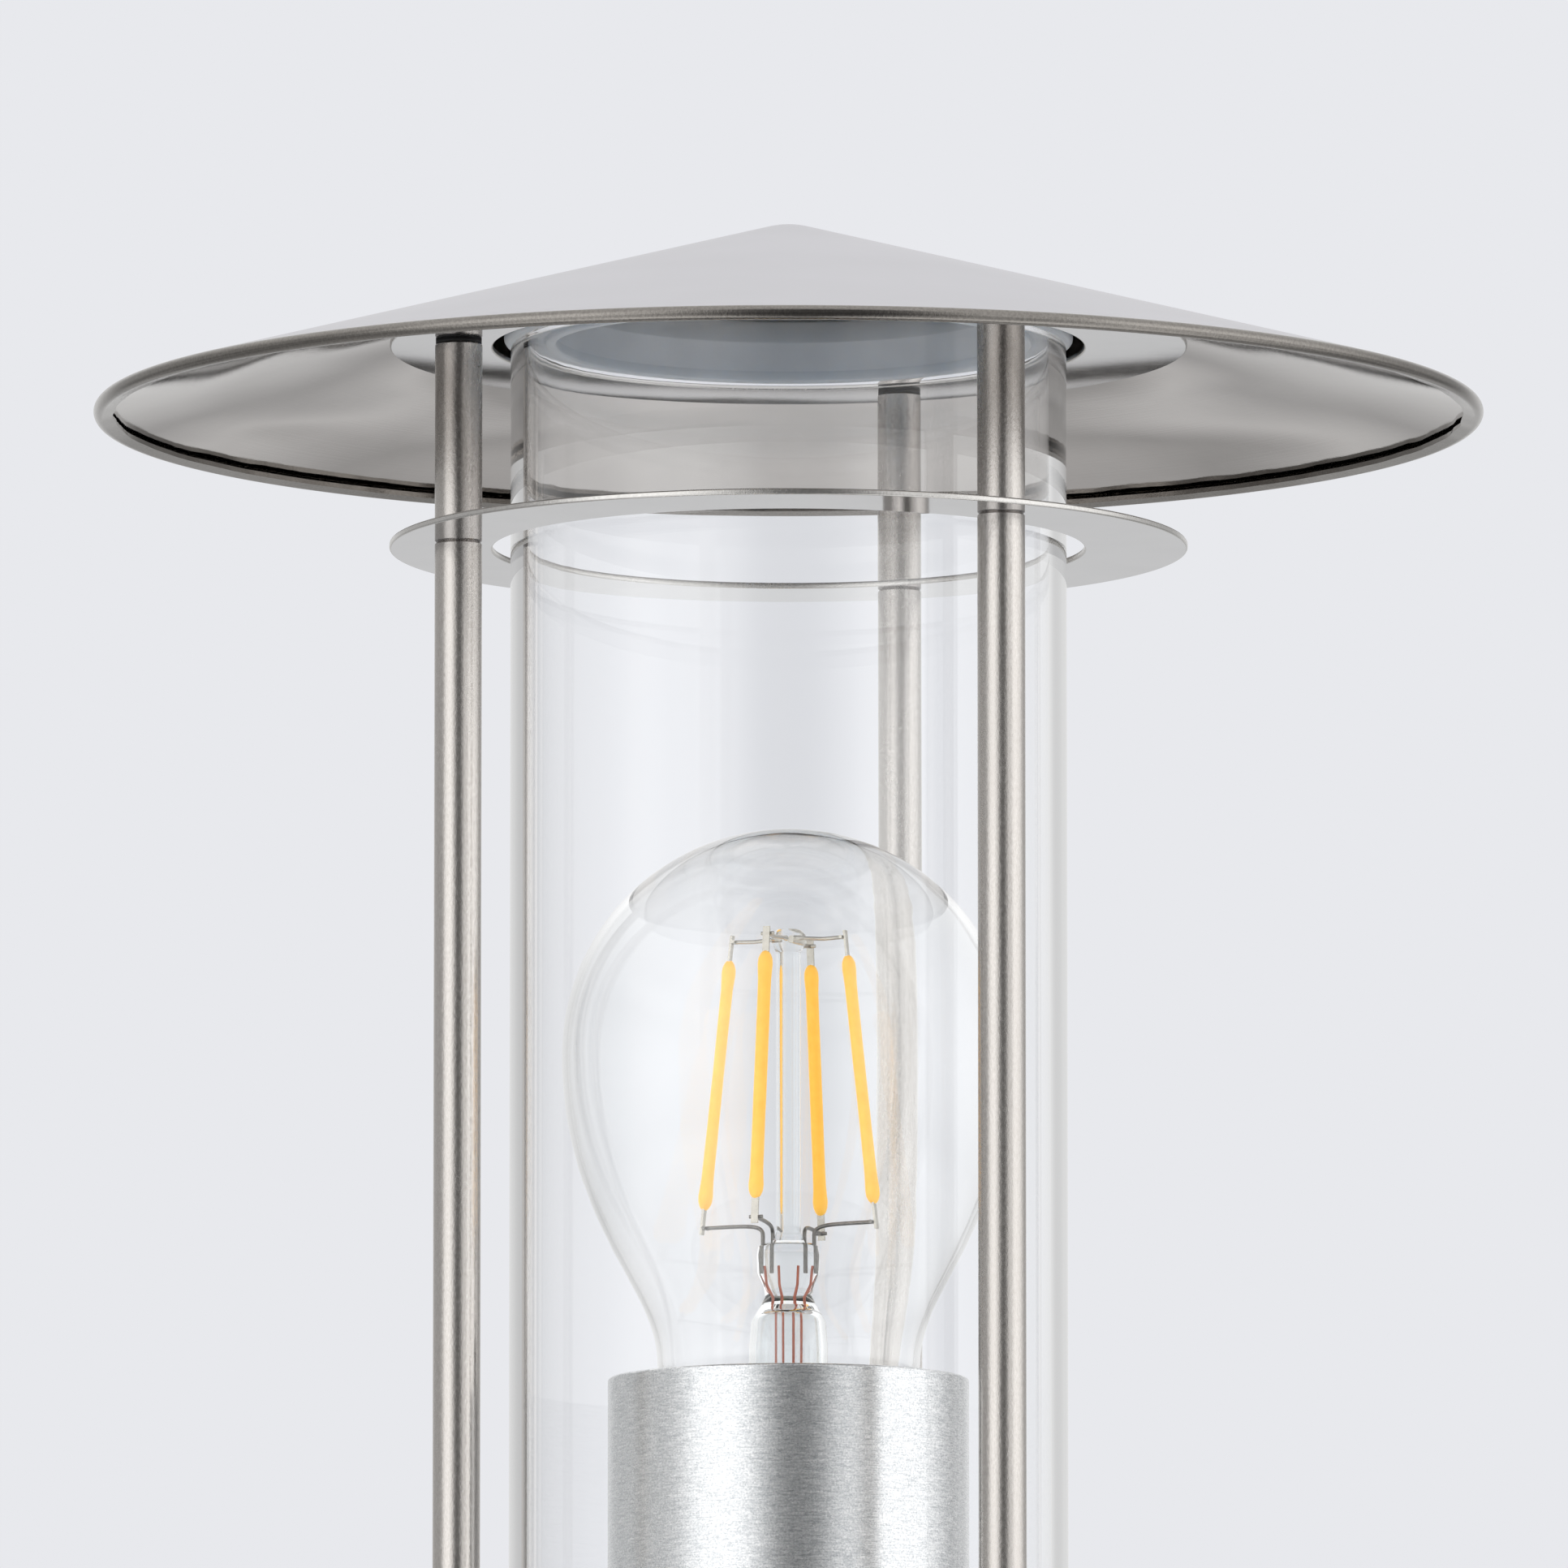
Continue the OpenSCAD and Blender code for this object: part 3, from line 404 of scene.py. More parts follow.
def edison_thread(mesh, crest, low, height, wall, around=96, steps=12):
    """A rolled Edison thread: a wavy wall whose waves climb one pitch in a turn."""
    rows = int(height / thread_pitch * steps)

    def wave(k, r, z, a):
        height_now = z - low
        fade = min(1, height_now / (0.8 * mm), (low + height - z) / (0.8 * mm))
        swing = 0.5 - 0.5 * math.cos(2 * math.pi * (height_now / thread_pitch) - a)
        return r - thread_depth * swing * max(fade, 0), z

    outer = [Vector((crest, low + height * i / rows)) for i in range(rows + 1)]
    inner = [Vector((crest - wall, p.y)) for p in reversed(outer)]
    turn(mesh, outer + inner, around, at_angle=wave)


shell_low, shell_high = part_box("screw_shell")
shell_wall = 0.4 * mm
shell_mesh = bmesh.new()
edison_thread(shell_mesh, shell_high.x, shell_low.z, shell_high.z - shell_low.z, shell_wall)
fitted("screw_shell_rolled", shell_mesh, brass, "pedestal", "screw_shell", 60)


# ---- Lamp-holder cup
# A drawn aluminium cup that hides the lamp-holder. It was brushed while it turned, so its lines run
# round it, and each light shows as one soft upright band with a fine sparkle.

def brushed_cup():
    # Brushed aluminium: cool grey. The real lines are 0.05 mm wide and are drawn at 0.2 mm. Specks
    # of 0.25 mm give the sparkle.
    material, tree, place = new_finish("round_brushed_aluminium")
    lines = add(tree, "ShaderNodeMapping", {"Vector": place, "Scale": (0.1, 0.1, 1)})
    brush = add(tree, "ShaderNodeTexNoise", {"Vector": lines, "Scale": 1 / (0.2 * mm), "Detail": 3.0,
                                             "Roughness": 0.7})
    speck = add(tree, "ShaderNodeTexNoise", {"Vector": place, "Scale": 1 / (0.25 * mm), "Detail": 1.0,
                                             "Roughness": 0.8})
    both = add(tree, "ShaderNodeMath", {0: brush, 1: speck}, operation="MULTIPLY")
    spark = add(tree, "ShaderNodeMapRange", {"Value": both, "From Min": 0.1, "From Max": 0.44})
    pattern_surface(tree, spark, ("b0b4b7", "ffffff"), brush, (0.22, 0.34), both, 0.01, 0.7, Metallic=1.0)
    return material


cup_low, cup_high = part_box("holder_cup")
cup_wall = 1.2 * mm
cup_mesh = bmesh.new()
turn(cup_mesh, outline((nipple_hole, cup_low.z), (cup_high.x, cup_low.z, 1.1 * mm),
                       (cup_high.x, cup_high.z, 0.4 * mm), (cup_high.x - cup_wall, cup_high.z, 0.4 * mm),
                       (cup_high.x - cup_wall, cup_low.z + cup_wall, 0.8 * mm),
                       (nipple_hole, cup_low.z + cup_wall)), 256)
fitted("holder_cup_brushed", cup_mesh, brushed_cup(), "pedestal", "holder_cup")


# ---- Seal under the glass
# A milky silicone ring on the base plate, cast in one piece. The glass stands on it, and its lip
# reaches up inside.

def milky_silicone():
    # Cast silicone: blue-white and cloudy, so light passes but nothing shows through
    material, tree, place = new_finish("milky_silicone")
    cloud = add(tree, "ShaderNodeTexNoise", {"Vector": place, "Scale": 1 / (7 * mm), "Detail": 3.0})
    skin = add(tree, "ShaderNodeTexNoise", {"Vector": place, "Scale": 1 / (0.6 * mm), "Detail": 2.0})
    pattern_surface(tree, cloud, ("b4babf", "d2d8dc"), cloud, (0.3, 0.45), skin, 0.05, 0.4,
                    Transmission_Weight=0.25, IOR=1.41, Subsurface_Weight=0.8,
                    Subsurface_Radius=(4.0 * mm, 4.6 * mm, 5.4 * mm), Subsurface_Scale=1.0)
    return material


silicone = milky_silicone()
glass_low, glass_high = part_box("glass_tube")
glass_wall = 2.3 * mm
bore = glass_high.x - glass_wall
seal_low, seal_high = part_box("base_seal")
seal_lip = 1.5 * mm
seal_gap = 0.2 * mm
seal_mesh = bmesh.new()
turn(seal_mesh, outline((bore - seal_gap - seal_lip, seal_low.z), (seal_high.x, seal_low.z, 0.4 * mm),
                        (seal_high.x, glass_low.z, 0.4 * mm), (bore - seal_gap, glass_low.z),
                        (bore - seal_gap - 0.3 * mm, seal_high.z, 0.3 * mm),
                        (bore - seal_gap - seal_lip, seal_high.z, 0.3 * mm)), 192)
fitted("base_seal_cast", seal_mesh, silicone, "pedestal", "base_seal")


# ---- Glass tube
# Clear drawn borosilicate tube, cut to length, with both ends fire-polished round. It stands loose on
# the lower seal, and the seal under the hood holds it from above.

def clear_glass(name, code, ior, streak):
    # Drawn glass: colourless, a faint cool cast in its edges, with drawing lines that run up it and
    # bend what is behind them very slightly. streak is their depth in millimetres.
    material, tree, place = new_finish(name)
    drawn = add(tree, "ShaderNodeMapping", {"Vector": place, "Scale": (1, 1, 0.02)})
    lines = add(tree, "ShaderNodeTexNoise", {"Vector": drawn, "Scale": 1 / (9 * mm), "Detail": 2.0})
    tint = add(tree, "ShaderNodeMix", {0: lines, 6: linear(code), 7: linear("ffffff")}, data_type="RGBA")
    bump = add(tree, "ShaderNodeBump", {"Height": lines, "Distance": streak * mm, "Strength": 0.5})
    surface(tree, Base_Color=tint, Normal=bump, Transmission_Weight=1.0, IOR=ior, Roughness=0.0)
    # Light that has already met a piece inside passes straight out, so nothing in the glass goes black
    path = add(tree, "ShaderNodeLightPath").outputs
    met = add(tree, "ShaderNodeMath", {0: path["Diffuse Depth"], 1: path["Glossy Depth"]})
    onward = add(tree, "ShaderNodeMath", {0: met, 1: path["Is Shadow Ray"]})
    straight = add(tree, "ShaderNodeMath", {0: onward, 1: 0.5}, operation="GREATER_THAN")
    both = add(tree, "ShaderNodeMixShader", {0: straight, 1: tree.nodes["Principled BSDF"],
                                             2: add(tree, "ShaderNodeBsdfTransparent")})
    join(tree, both, tree.nodes["Material Output"].inputs["Surface"])
    return material


tube_glass = clear_glass("drawn_borosilicate_tube", "fbfcfd", 1.47, 0.05)
glass_mesh = bmesh.new()
turn(glass_mesh, outline((glass_high.x, glass_low.z, 0.8 * mm), (glass_high.x, glass_high.z, 0.8 * mm),
                         (bore, glass_high.z, 0.8 * mm), (bore, glass_low.z, 0.8 * mm)), 320)
fitted("glass_tube_drawn", glass_mesh, tube_glass, "glass", "glass_tube", 60)


# ---- Bulb cap
# The bulb's screw is rolled from thin nickel-plated brass, cemented to the glass neck. A black glass
# insulator below it carries the centre contact.

cap_low, cap_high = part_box("bulb_cap")
cap_crest = cap_high.x
cap_wall = 0.3 * mm
skirt_radius = cap_crest - thread_depth / 2
skirt_low = cap_low.z + 14.5 * mm
cap_mesh = bmesh.new()
edison_thread(cap_mesh, cap_crest, cap_low.z, skirt_low - cap_low.z + 0.3 * mm, cap_wall)
turn(cap_mesh, outline((skirt_radius, skirt_low), (skirt_radius, cap_high.z, 0.12 * mm),
                       (skirt_radius - cap_wall, cap_high.z, 0.12 * mm),
                       (skirt_radius - cap_wall, skirt_low)), 96)
fitted("bulb_cap_rolled", cap_mesh, nickel, "bulb", "bulb_cap", 60)

# Black pressed glass: almost mirror-smooth, with slight mould ripples
black_glass = clouded("black_pressed_glass", 2, 2.0, ("0a0a0d", "1a1a20"), (0.06, 0.16), 0.1, 0.4)
dress("cap_insulator", black_glass, 0.4)
dress("cap_contact", nickel, 0.25)


# ---- Driver board
# A small glass-fibre board with copper tracks sits in the cap. It turns mains into the filaments'
# direct current.

def circuit_board():
    # Green solder mask over glass-fibre, with the copper tracks just showing
    material, tree, place = new_finish("green_solder_mask")
    tracks = add(tree, "ShaderNodeTexBrick", {"Vector": place, "Scale": 1 / (8 * mm), "Mortar Size": 0.03,
                                              "Color1": linear("1d5a35"), "Color2": linear("226a3d"),
                                              "Mortar": linear("2f8a52")})
    spread = add(tree, "ShaderNodeMapRange", {"Value": tracks.outputs["Fac"], "To Min": 0.3, "To Max": 0.45})
    surface(tree, Base_Color=tracks, Roughness=spread)
    return material


dress("bulb_driver", circuit_board(), 0.1)


# ---- Bulb glass
# A clear blown soda-lime bulb, thinner than a millimetre, with a round crown that runs down into a
# straight neck and in to the cap.

crown_low, crown_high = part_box("bulb_glass")
bulb_radius = crown_high.x
bulb_wall = 0.7 * mm
neck_radius = 17.4 * mm
neck_drop = 71 * mm
foot_radius = skirt_radius - cap_wall - 0.03 * mm
cup_of_cap = cap_high.z


def curve(points, steps):
    """Points along a cubic curve through the first and last of four."""
    a, b, c, d = (Vector(p) for p in points)
    return [a * (1 - t) ** 3 + b * 3 * t * (1 - t) ** 2 + c * 3 * t * t * (1 - t) + d * t ** 3
            for t in (k / steps for k in range(1, steps + 1))]


def bulb_line(inset):
    """The bulb's outline from its crown to its foot, moved in by inset."""
    r, neck, foot = bulb_radius - inset, neck_radius - inset, foot_radius - inset
    middle = crown_high.z - bulb_radius
    neck_z = crown_high.z - neck_drop
    fall = middle - neck_z
    line = [Vector((r * math.cos(t), middle + r * math.sin(t)))
            for t in (math.pi / 2 * (1 - k / 40) for k in range(41))]
    line[0].x = 0
    line += curve([(r, middle), (r, middle - 0.55 * fall), (neck, middle - 0.75 * fall), (neck, neck_z)], 40)
    line += curve([(neck, neck_z), (neck, neck_z - 3 * mm), (foot, cup_of_cap + 3 * mm), (foot, cup_of_cap)],
                  16)
    return line + [Vector((foot, crown_low.z))]


bulb_mesh = bmesh.new()
outside, inside = bulb_line(0), bulb_line(bulb_wall)
turn(bulb_mesh, outside + inside[::-1], 256)
crown_glass = clear_glass("blown_soda_lime_bulb", "fdfefe", 1.46, 0.06)
fitted("bulb_glass_blown", bulb_mesh, crown_glass, "bulb", "bulb_glass", 70)


# ---- Glass stem
# The bulb's foot is a lead-glass flare and tube, pressed flat where the lead-in wires pass through.
# A thin glass rod rises from the press to a bead that holds the upper wires.

stem_low, stem_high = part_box("bulb_stem")
seat = stem_low.z - 21 * mm
press_turn = math.radians(21)
stem_steps = [(21, 11.6, 11.6), (23, 8.6, 8.6), (26, 5.9, 5.9), (29, 5.25, 5.25), (36, 5.2, 5.1),
              (39.5, 4.9, 4.4), (41.5, 3.8, 2.9), (42.8, 3.1, 1.9), (44.2, 3.3, 1.7), (46, 4.1, 1.8),
              (48.5, 4.2, 1.8), (49.6, 4.0, 1.6), (50, 3.2, 1.2)]
stem_mesh = bmesh.new()


def bridge(mesh, low, high):
    """Joins two rings of corners by a band of faces."""
    for i in range(len(low)):
        j = (i + 1) % len(low)
        mesh.faces.new([low[i], low[j], high[j], high[i]])


def loft(mesh, outside, inside, around, turned):
    """Joins ovals of (height, half width, half depth) into a hollow skin that is open at its foot."""
    flat = Matrix.Rotation(turned, 3, "Z")
    rings = [[mesh.verts.new(flat @ Vector((wide * math.cos(a), deep * math.sin(a), z)))
              for a in (2 * math.pi * i / around for i in range(around))]
             for z, wide, deep in outside + inside[::-1]]
    for k, low in enumerate(rings):
        high = rings[(k + 1) % len(rings)]
        if k == len(outside) - 1:
            mesh.faces.new(low)
            mesh.faces.new(high[::-1])
        else:
            bridge(mesh, low, high)


stem_wall = 0.8
stem_skin = [(seat + z * mm, a * mm, b * mm) for z, a, b in stem_steps]
stem_hollow = [(seat + z * mm, (a - stem_wall) * mm, (b - stem_wall) * mm) for z, a, b in stem_steps[:7]]
loft(stem_mesh, stem_skin, stem_hollow, 48, press_turn)
stem_rod, stem_bead = 1.6 * mm, 2.3 * mm
turn(stem_mesh, [(0, seat + 50.02 * mm), (stem_rod * 1.4, seat + 50.02 * mm), (stem_rod, seat + 51.5 * mm),
                 (stem_rod, stem_high.z - 3.2 * mm), (stem_bead * 0.8, stem_high.z - 2.8 * mm),
                 (stem_bead, stem_high.z - 1.8 * mm), (stem_bead, stem_high.z - 0.8 * mm),
                 (stem_bead * 0.7, stem_high.z - 0.1 * mm), (0, stem_high.z)], 48, closed=False)
stem_glass = clear_glass("flame_worked_lead_glass", "f6fafa", 1.5, 0.3)
fitted("glass_stem", stem_mesh, stem_glass, "bulb", "bulb_stem", 70)


# ---- Filaments
# Four thin strips of LED chips, each dipped in orange-yellow silicone that swells a little at both
# ends. They lean in towards the bead.

# Phosphor in silicone: saturated orange-yellow, soft-edged, faintly lumpy over the chips, with a faint
# painted glow from its emission
yellow = clouded("phosphor_silicone_painted_glow", 1.3, 2.0, ("f8ad26", "ffcd50"), (0.32, 0.48), 0.1, 0.4,
                 Subsurface_Weight=0.25, Subsurface_Radius=(0.6 * mm, 0.3 * mm, 0.08 * mm),
                 Subsurface_Scale=1.0, Emission_Color=linear("ffc23a"), Emission_Strength=0.45)
filament_length = 40 * mm
strip_length = 3.3 * mm
top_radius, bottom_radius = 8 * mm, 12.4 * mm
filament_top = seat + 91.3 * mm
filament_drop = math.sqrt(filament_length ** 2 - (bottom_radius - top_radius) ** 2)
filament_ends = []
filament_sides = 24


def capped(mesh, rings):
    """Joins rings of corners into a skin that is closed at both ends."""
    for low, high in zip(rings, rings[1:]):
        bridge(mesh, low, high)
    mesh.faces.new(rings[0][::-1])
    mesh.faces.new(rings[-1])


for i in range(4):
    a = math.pi / 2 * i
    out = Vector((math.cos(a), math.sin(a), 0))
    top = out * top_radius + Vector((0, 0, filament_top))
    bottom = out * bottom_radius + Vector((0, 0, filament_top - filament_drop))
    filament_ends.append((top, bottom, out))
    down = (bottom - top).normalized()
    across = Vector((-out.y, out.x, 0))
    face = down.cross(across)
    run = filament_length - 2 * strip_length
    filament_mesh = bmesh.new()
    rings = []
    # Along the strip in mm, and the width there: rounded at both ends, with a soft shoulder
    swell = [(0, 0.1), (0.15, 0.45), (0.5, 0.72), (1.1, 0.95), (1.9, 1.0), (2.8, 0.93), (4, 0.86), (6, 0.85)]
    swell = swell + [(8 + 2 * k, 0.85) for k in range(9)] + [(run / mm - s, w) for s, w in reversed(swell)]
    for s, w in swell:
        middle = top + down * (strip_length + s * mm)
        wobble = 1 + 0.03 * noise.noise(middle * 900)
        rings.append([filament_mesh.verts.new(middle + (across * math.cos(t) + face * math.sin(t) * 0.92)
                                              * w * wobble * mm)
                      for t in (2 * math.pi * k / filament_sides for k in range(filament_sides))])
    capped(filament_mesh, rings)
    fitted(f"filament_{i + 1}_dipped", filament_mesh, yellow, "bulb", f"filament_{i + 1}", 70)


# ---- Filament end strips and wires
# Each filament ends in a flat plated strip, spot-welded across a nickel wire. Short wires join the
# strips to the bead at the top. Longer ones bend out of the press at the bottom.

def sweep(mesh, path, radius, sides=14):
    """A round wire along a path, closed at both ends."""
    path = [Vector(p) for p in path]
    ways = [(path[min(k + 1, len(path) - 1)] - path[max(k - 1, 0)]).normalized() for k in range(len(path))]
    side = ways[0].orthogonal().normalized()
    rings = []
    for point, way in zip(path, ways):
        side = (side - way * side.dot(way)).normalized()
        other = way.cross(side)
        rings.append([mesh.verts.new(point + (side * math.cos(t) + other * math.sin(t)) * radius)
                      for t in (2 * math.pi * k / sides for k in range(sides))])
    capped(mesh, rings)


def slab(mesh, middle, axes, sizes):
    """A flat strip: a box about its middle along three axes."""
    corners = [mesh.verts.new(middle + sum((ax * (s / 2 * sign) for ax, s, sign in zip(axes, sizes, signs)),
                                           Vector()))
               for signs in ((-1, -1, -1), (1, -1, -1), (1, 1, -1), (-1, 1, -1),
                             (-1, -1, 1), (1, -1, 1), (1, 1, 1), (-1, 1, 1))]
    for loop in ((0, 3, 2, 1), (4, 5, 6, 7), (0, 1, 5, 4), (1, 2, 6, 5), (2, 3, 7, 6), (3, 0, 4, 7)):
        mesh.faces.new([corners[k] for k in loop])


# Oxidised nickel-iron wire: dark grey metal with lighter scuffs
wire_metal = clouded("oxidised_nickel_wire", 0.5, 3.0, ("4d4b48", "9b9893"), (0.25, 0.45), Metallic=1.0)
strip_mesh = bmesh.new()
support_mesh = bmesh.new()
lead_in_mesh = bmesh.new()
wire = 0.27 * mm
press_axis = Vector((math.cos(press_turn), math.sin(press_turn), 0))
press_places = (3.4, 2.1, -3.4, -2.1)
press_top = seat + 50 * mm
bead_middle = Vector((0, 0, stem_high.z - 1.3 * mm))
for (top, bottom, out), place_mm in zip(filament_ends, press_places):
    down = (bottom - top).normalized()
    across = Vector((-out.y, out.x, 0))
    face = down.cross(across)
    for end, way in ((top, 1), (bottom, -1)):
        slab(strip_mesh, end + down * way * (strip_length / 2 + 0.1 * mm),
             (down, across, face), (strip_length + 0.2 * mm, 0.95 * mm, 0.3 * mm))
    tip = top + down * 0.9 * mm - out * 0.45 * mm
    sweep(support_mesh, [bead_middle + out * 0.6 * mm, bead_middle + out * 2.2 * mm,
                         (bead_middle + out * 2.2 * mm).lerp(tip, 0.5) - Vector((0, 0, 0.15 * mm)),
                         tip - across * 0.1 * mm, tip + out * 0.1 * mm], wire)
    sweep(support_mesh, [tip - across * 0.9 * mm, tip + across * 0.9 * mm], wire * 0.9)
    tip = bottom - down * 0.9 * mm - out * 0.45 * mm
    start = press_axis * place_mm * mm + Vector((0, 0, press_top - 4 * mm))
    rise = press_axis * place_mm * mm + Vector((0, 0, press_top + 1.1 * mm))
    bend = curve([rise, rise + Vector((0, 0, 1.5 * mm)), rise.lerp(tip, 0.25) + Vector((0, 0, 1.0 * mm)),
                  tip], 12)
    sweep(lead_in_mesh, [start, rise] + bend, wire)
    sweep(lead_in_mesh, [tip - across * 0.9 * mm, tip + across * 0.9 * mm], wire * 0.9)
fitted("filament_strips_plated", strip_mesh, nickel, "bulb", "filament_strips")
fitted("support_wires_bent", support_mesh, nickel, "bulb", "support_wires", 50)
fitted("lead_in_wires_bent", lead_in_mesh, wire_metal, "bulb", "lead_wires", 50)


# ---- Copper lead-in wires
# Below the press the wires go on in copper-coated iron, red against the glass, down to the driver.
# The press is melted round them, so that it seals the bulb.

# Oxidised copper on iron: dull red where the glass has wetted it
copper = clouded("borated_copper_wire", 0.7, 3.0, ("8a3a25", "c9785c"), (0.3, 0.5), Metallic=0.8)
copper_mesh = bmesh.new()
for place_mm in (3.0, 1.2, -3.0, -1.2):
    base = press_axis * place_mm * 0.55 * mm
    sweep(copper_mesh, [press_axis * place_mm * mm + Vector((0, 0, seat + 47 * mm)),
                        press_axis * place_mm * 0.9 * mm + Vector((0, 0, seat + 44.5 * mm)),
                        press_axis * place_mm * 0.6 * mm + Vector((0, 0, seat + 42.5 * mm)),
                        base + Vector((0, 0, seat + 40 * mm)), base + Vector((0, 0, seat + 30 * mm)),
                        base * 1.2 + Vector((0, 0, seat + 22.5 * mm))], 0.17 * mm, 10)
fitted("copper_lead_ins", copper_mesh, copper, "bulb", sharp=50)


# ---- Rods
# Three stainless rods of 6 mm, ground to a satin. Each ends in a small chamfer, so a fine line shows
# where it meets the base plate and the ring.

rod_steel = satin_steel("bead_ground_stainless_rod", ("b3aea9", "d6d2ce"), (0.2, 0.42), (1, 1, 0.45), 0.32,
                        0.035)
rod_chamfer = 0.25 * mm


def post(node):
    """A round rod between chamfers. Returns where it stands."""
    low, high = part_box(node)
    r = (high.x - low.x) / 2
    centre = ((low.x + high.x) / 2, (low.y + high.y) / 2)
    post_mesh = bmesh.new()
    turn(post_mesh, [(0, low.z), (r - rod_chamfer, low.z), (r, low.z + rod_chamfer),
                     (r, high.z - rod_chamfer), (r - rod_chamfer, high.z), (0, high.z)],
         96, centre, closed=False)
    fitted(f"{node}_ground", post_mesh, rod_steel, "cage", node, 25)
    return centre


post_centres = []
for side in ("back", "left", "right"):
    post_centres.append(post(f"rod_{side}"))
    post(f"spacer_{side}")
dress("rod_washers", rubber, 0)


# ---- Studs
# Threaded stainless studs join the rods through the rings and the base plate. The thread shows below
# the plate, where the thumb nuts run on it.

for node in ("joining_studs", "ring_studs"):
    dress(node, nickel, 0)

stud_low, stud_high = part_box("rod_end_studs")
stud_radius = 2.0 * mm
stud_pitch = 0.7 * mm
stud_root = stud_radius * 0.84


def new_group(name, **inputs):
    """A Geometry Nodes tree that gives a mesh, and what comes in through its inputs."""
    tree = bpy.data.node_groups.new(name, "GeometryNodeTree")
    tree.is_modifier = True
    tree.interface.new_socket("Geometry", in_out="OUTPUT", socket_type="NodeSocketGeometry")
    for label, value in inputs.items():
        kind = "NodeSocketInt" if isinstance(value, int) else "NodeSocketFloat"
        tree.interface.new_socket(label, in_out="INPUT", socket_type=kind).default_value = value
    tree.interface.new_socket("Finish", in_out="INPUT", socket_type="NodeSocketMaterial")
    return tree, add(tree, "NodeGroupInput").outputs


def give_out(tree, given, points, instance, **turned):
    """Sets a real copy on each point, with its finish, and ends the tree."""
    rows = add(tree, "GeometryNodeInstanceOnPoints", {"Points": points, "Instance": instance} | turned)
    real = add(tree, "GeometryNodeRealizeInstances", {"Geometry": rows})
    last = add(tree, "GeometryNodeSetMaterial", {"Geometry": real, "Material": given["Finish"]})
    add(tree, "NodeGroupOutput", {"Geometry": last})
    return tree


def thread_tree():
    """A row of rings one pitch apart along Z, which reads as a fine thread."""
    tree, given = new_group("fine_thread", Radius=stud_radius, Pitch=stud_pitch, Length=0.01)
    count = add(tree, "ShaderNodeMath", {0: given["Length"], 1: given["Pitch"]}, operation="DIVIDE")
    step = add(tree, "ShaderNodeCombineXYZ", {"Z": given["Pitch"]})
    row = add(tree, "GeometryNodeMeshLine", {"Count": count, "Offset": step})
    root, flank, rise = (add(tree, "ShaderNodeMath", {0: given["Pitch"], 1: part}, operation="MULTIPLY")
                         for part in (0.55, 0.52, 0.48))
    lower = add(tree, "ShaderNodeMath", {0: given["Radius"], 1: root}, operation="SUBTRACT")
    up, down = (add(tree, "GeometryNodeMeshCone", {"Vertices": 32, "Radius Top": top, "Radius Bottom": bottom,
                                                   "Depth": flank})
                for top, bottom in ((given["Radius"], lower), (lower, given["Radius"])))
    lift = add(tree, "ShaderNodeCombineXYZ", {"Z": rise})
    ring = add(tree, "GeometryNodeJoinGeometry", {0: up})
    join(tree, add(tree, "GeometryNodeTransform", {"Geometry": down, "Translation": lift}), ring.inputs[0])
    return give_out(tree, given, row, ring)


def grown(name, tree, inputs):
    """Runs a Geometry Nodes tree once and returns its plain mesh."""
    holder = bpy.data.objects.new(name, bpy.data.meshes.new(name))
    bpy.context.scene.collection.objects.link(holder)
    modifier = holder.modifiers.new(name, "NODES")
    modifier.node_group = tree
    for item in tree.interface.items_tree:
        if item.in_out == "INPUT" and item.name in inputs:
            modifier[item.identifier] = inputs[item.name]
    evaluated = holder.evaluated_get(bpy.context.evaluated_depsgraph_get())
    plain = bpy.data.meshes.new_from_object(evaluated)
    bpy.data.objects.remove(holder)
    return plain


def placed(mesh, source, spots):
    """Adds copies of a plain mesh at the given spots."""
    for spot in spots:
        before = len(mesh.verts)
        mesh.from_mesh(source)
        mesh.verts.ensure_lookup_table()
        bmesh.ops.translate(mesh, verts=mesh.verts[before:], vec=spot)


thread = grown("stud_thread", thread_tree(), {"Length": stud_high.z - stud_low.z - 1.2 * mm,
                                              "Finish": nickel})
stud_mesh = bmesh.new()
placed(stud_mesh, thread, [(x, y, stud_low.z + 0.9 * mm) for x, y in post_centres])
for centre in post_centres:
    turn(stud_mesh, [(0, stud_low.z), (stud_radius * 0.72, stud_low.z), (stud_root, stud_low.z + 0.6 * mm),
                     (stud_root, stud_high.z), (0, stud_high.z)], 48, centre, closed=False)
fitted("rod_end_studs_threaded", stud_mesh, nickel, "cage", "rod_end_studs", 40)


# ---- Thumb nuts and washers
# Three turned stainless nuts with straight knurling clamp the rods to the base plate by hand. Each
# runs against a plain washer.

dress("nut_washers", plate_steel, 0.12)
nut_steel = satin_steel("turned_stainless_nut", ("a6a29d", "d0ccc7"), (0.18, 0.36), (1, 1, 1), 0.3, 0.02)


def knurl_tree():
    """Ridges spaced round a nut: a ring of slim four-sided bars standing on its skirt."""
    tree, given = new_group("straight_knurl", Radius=5.75 * mm, Ridge=0.42 * mm, Height=4 * mm, Count=48)
    circle = add(tree, "GeometryNodeMeshCircle", {"Vertices": given["Count"], "Radius": given["Radius"]})
    turned = add(tree, "FunctionNodeAlignEulerToVector", {"Vector": add(tree, "GeometryNodeInputPosition")},
                 axis="X", pivot_axis="Z")
    bar = add(tree, "GeometryNodeMeshCone", {"Vertices": 4, "Radius Top": given["Ridge"],
                                             "Radius Bottom": given["Ridge"], "Depth": given["Height"]})
    return give_out(tree, given, circle, bar, Rotation=turned)


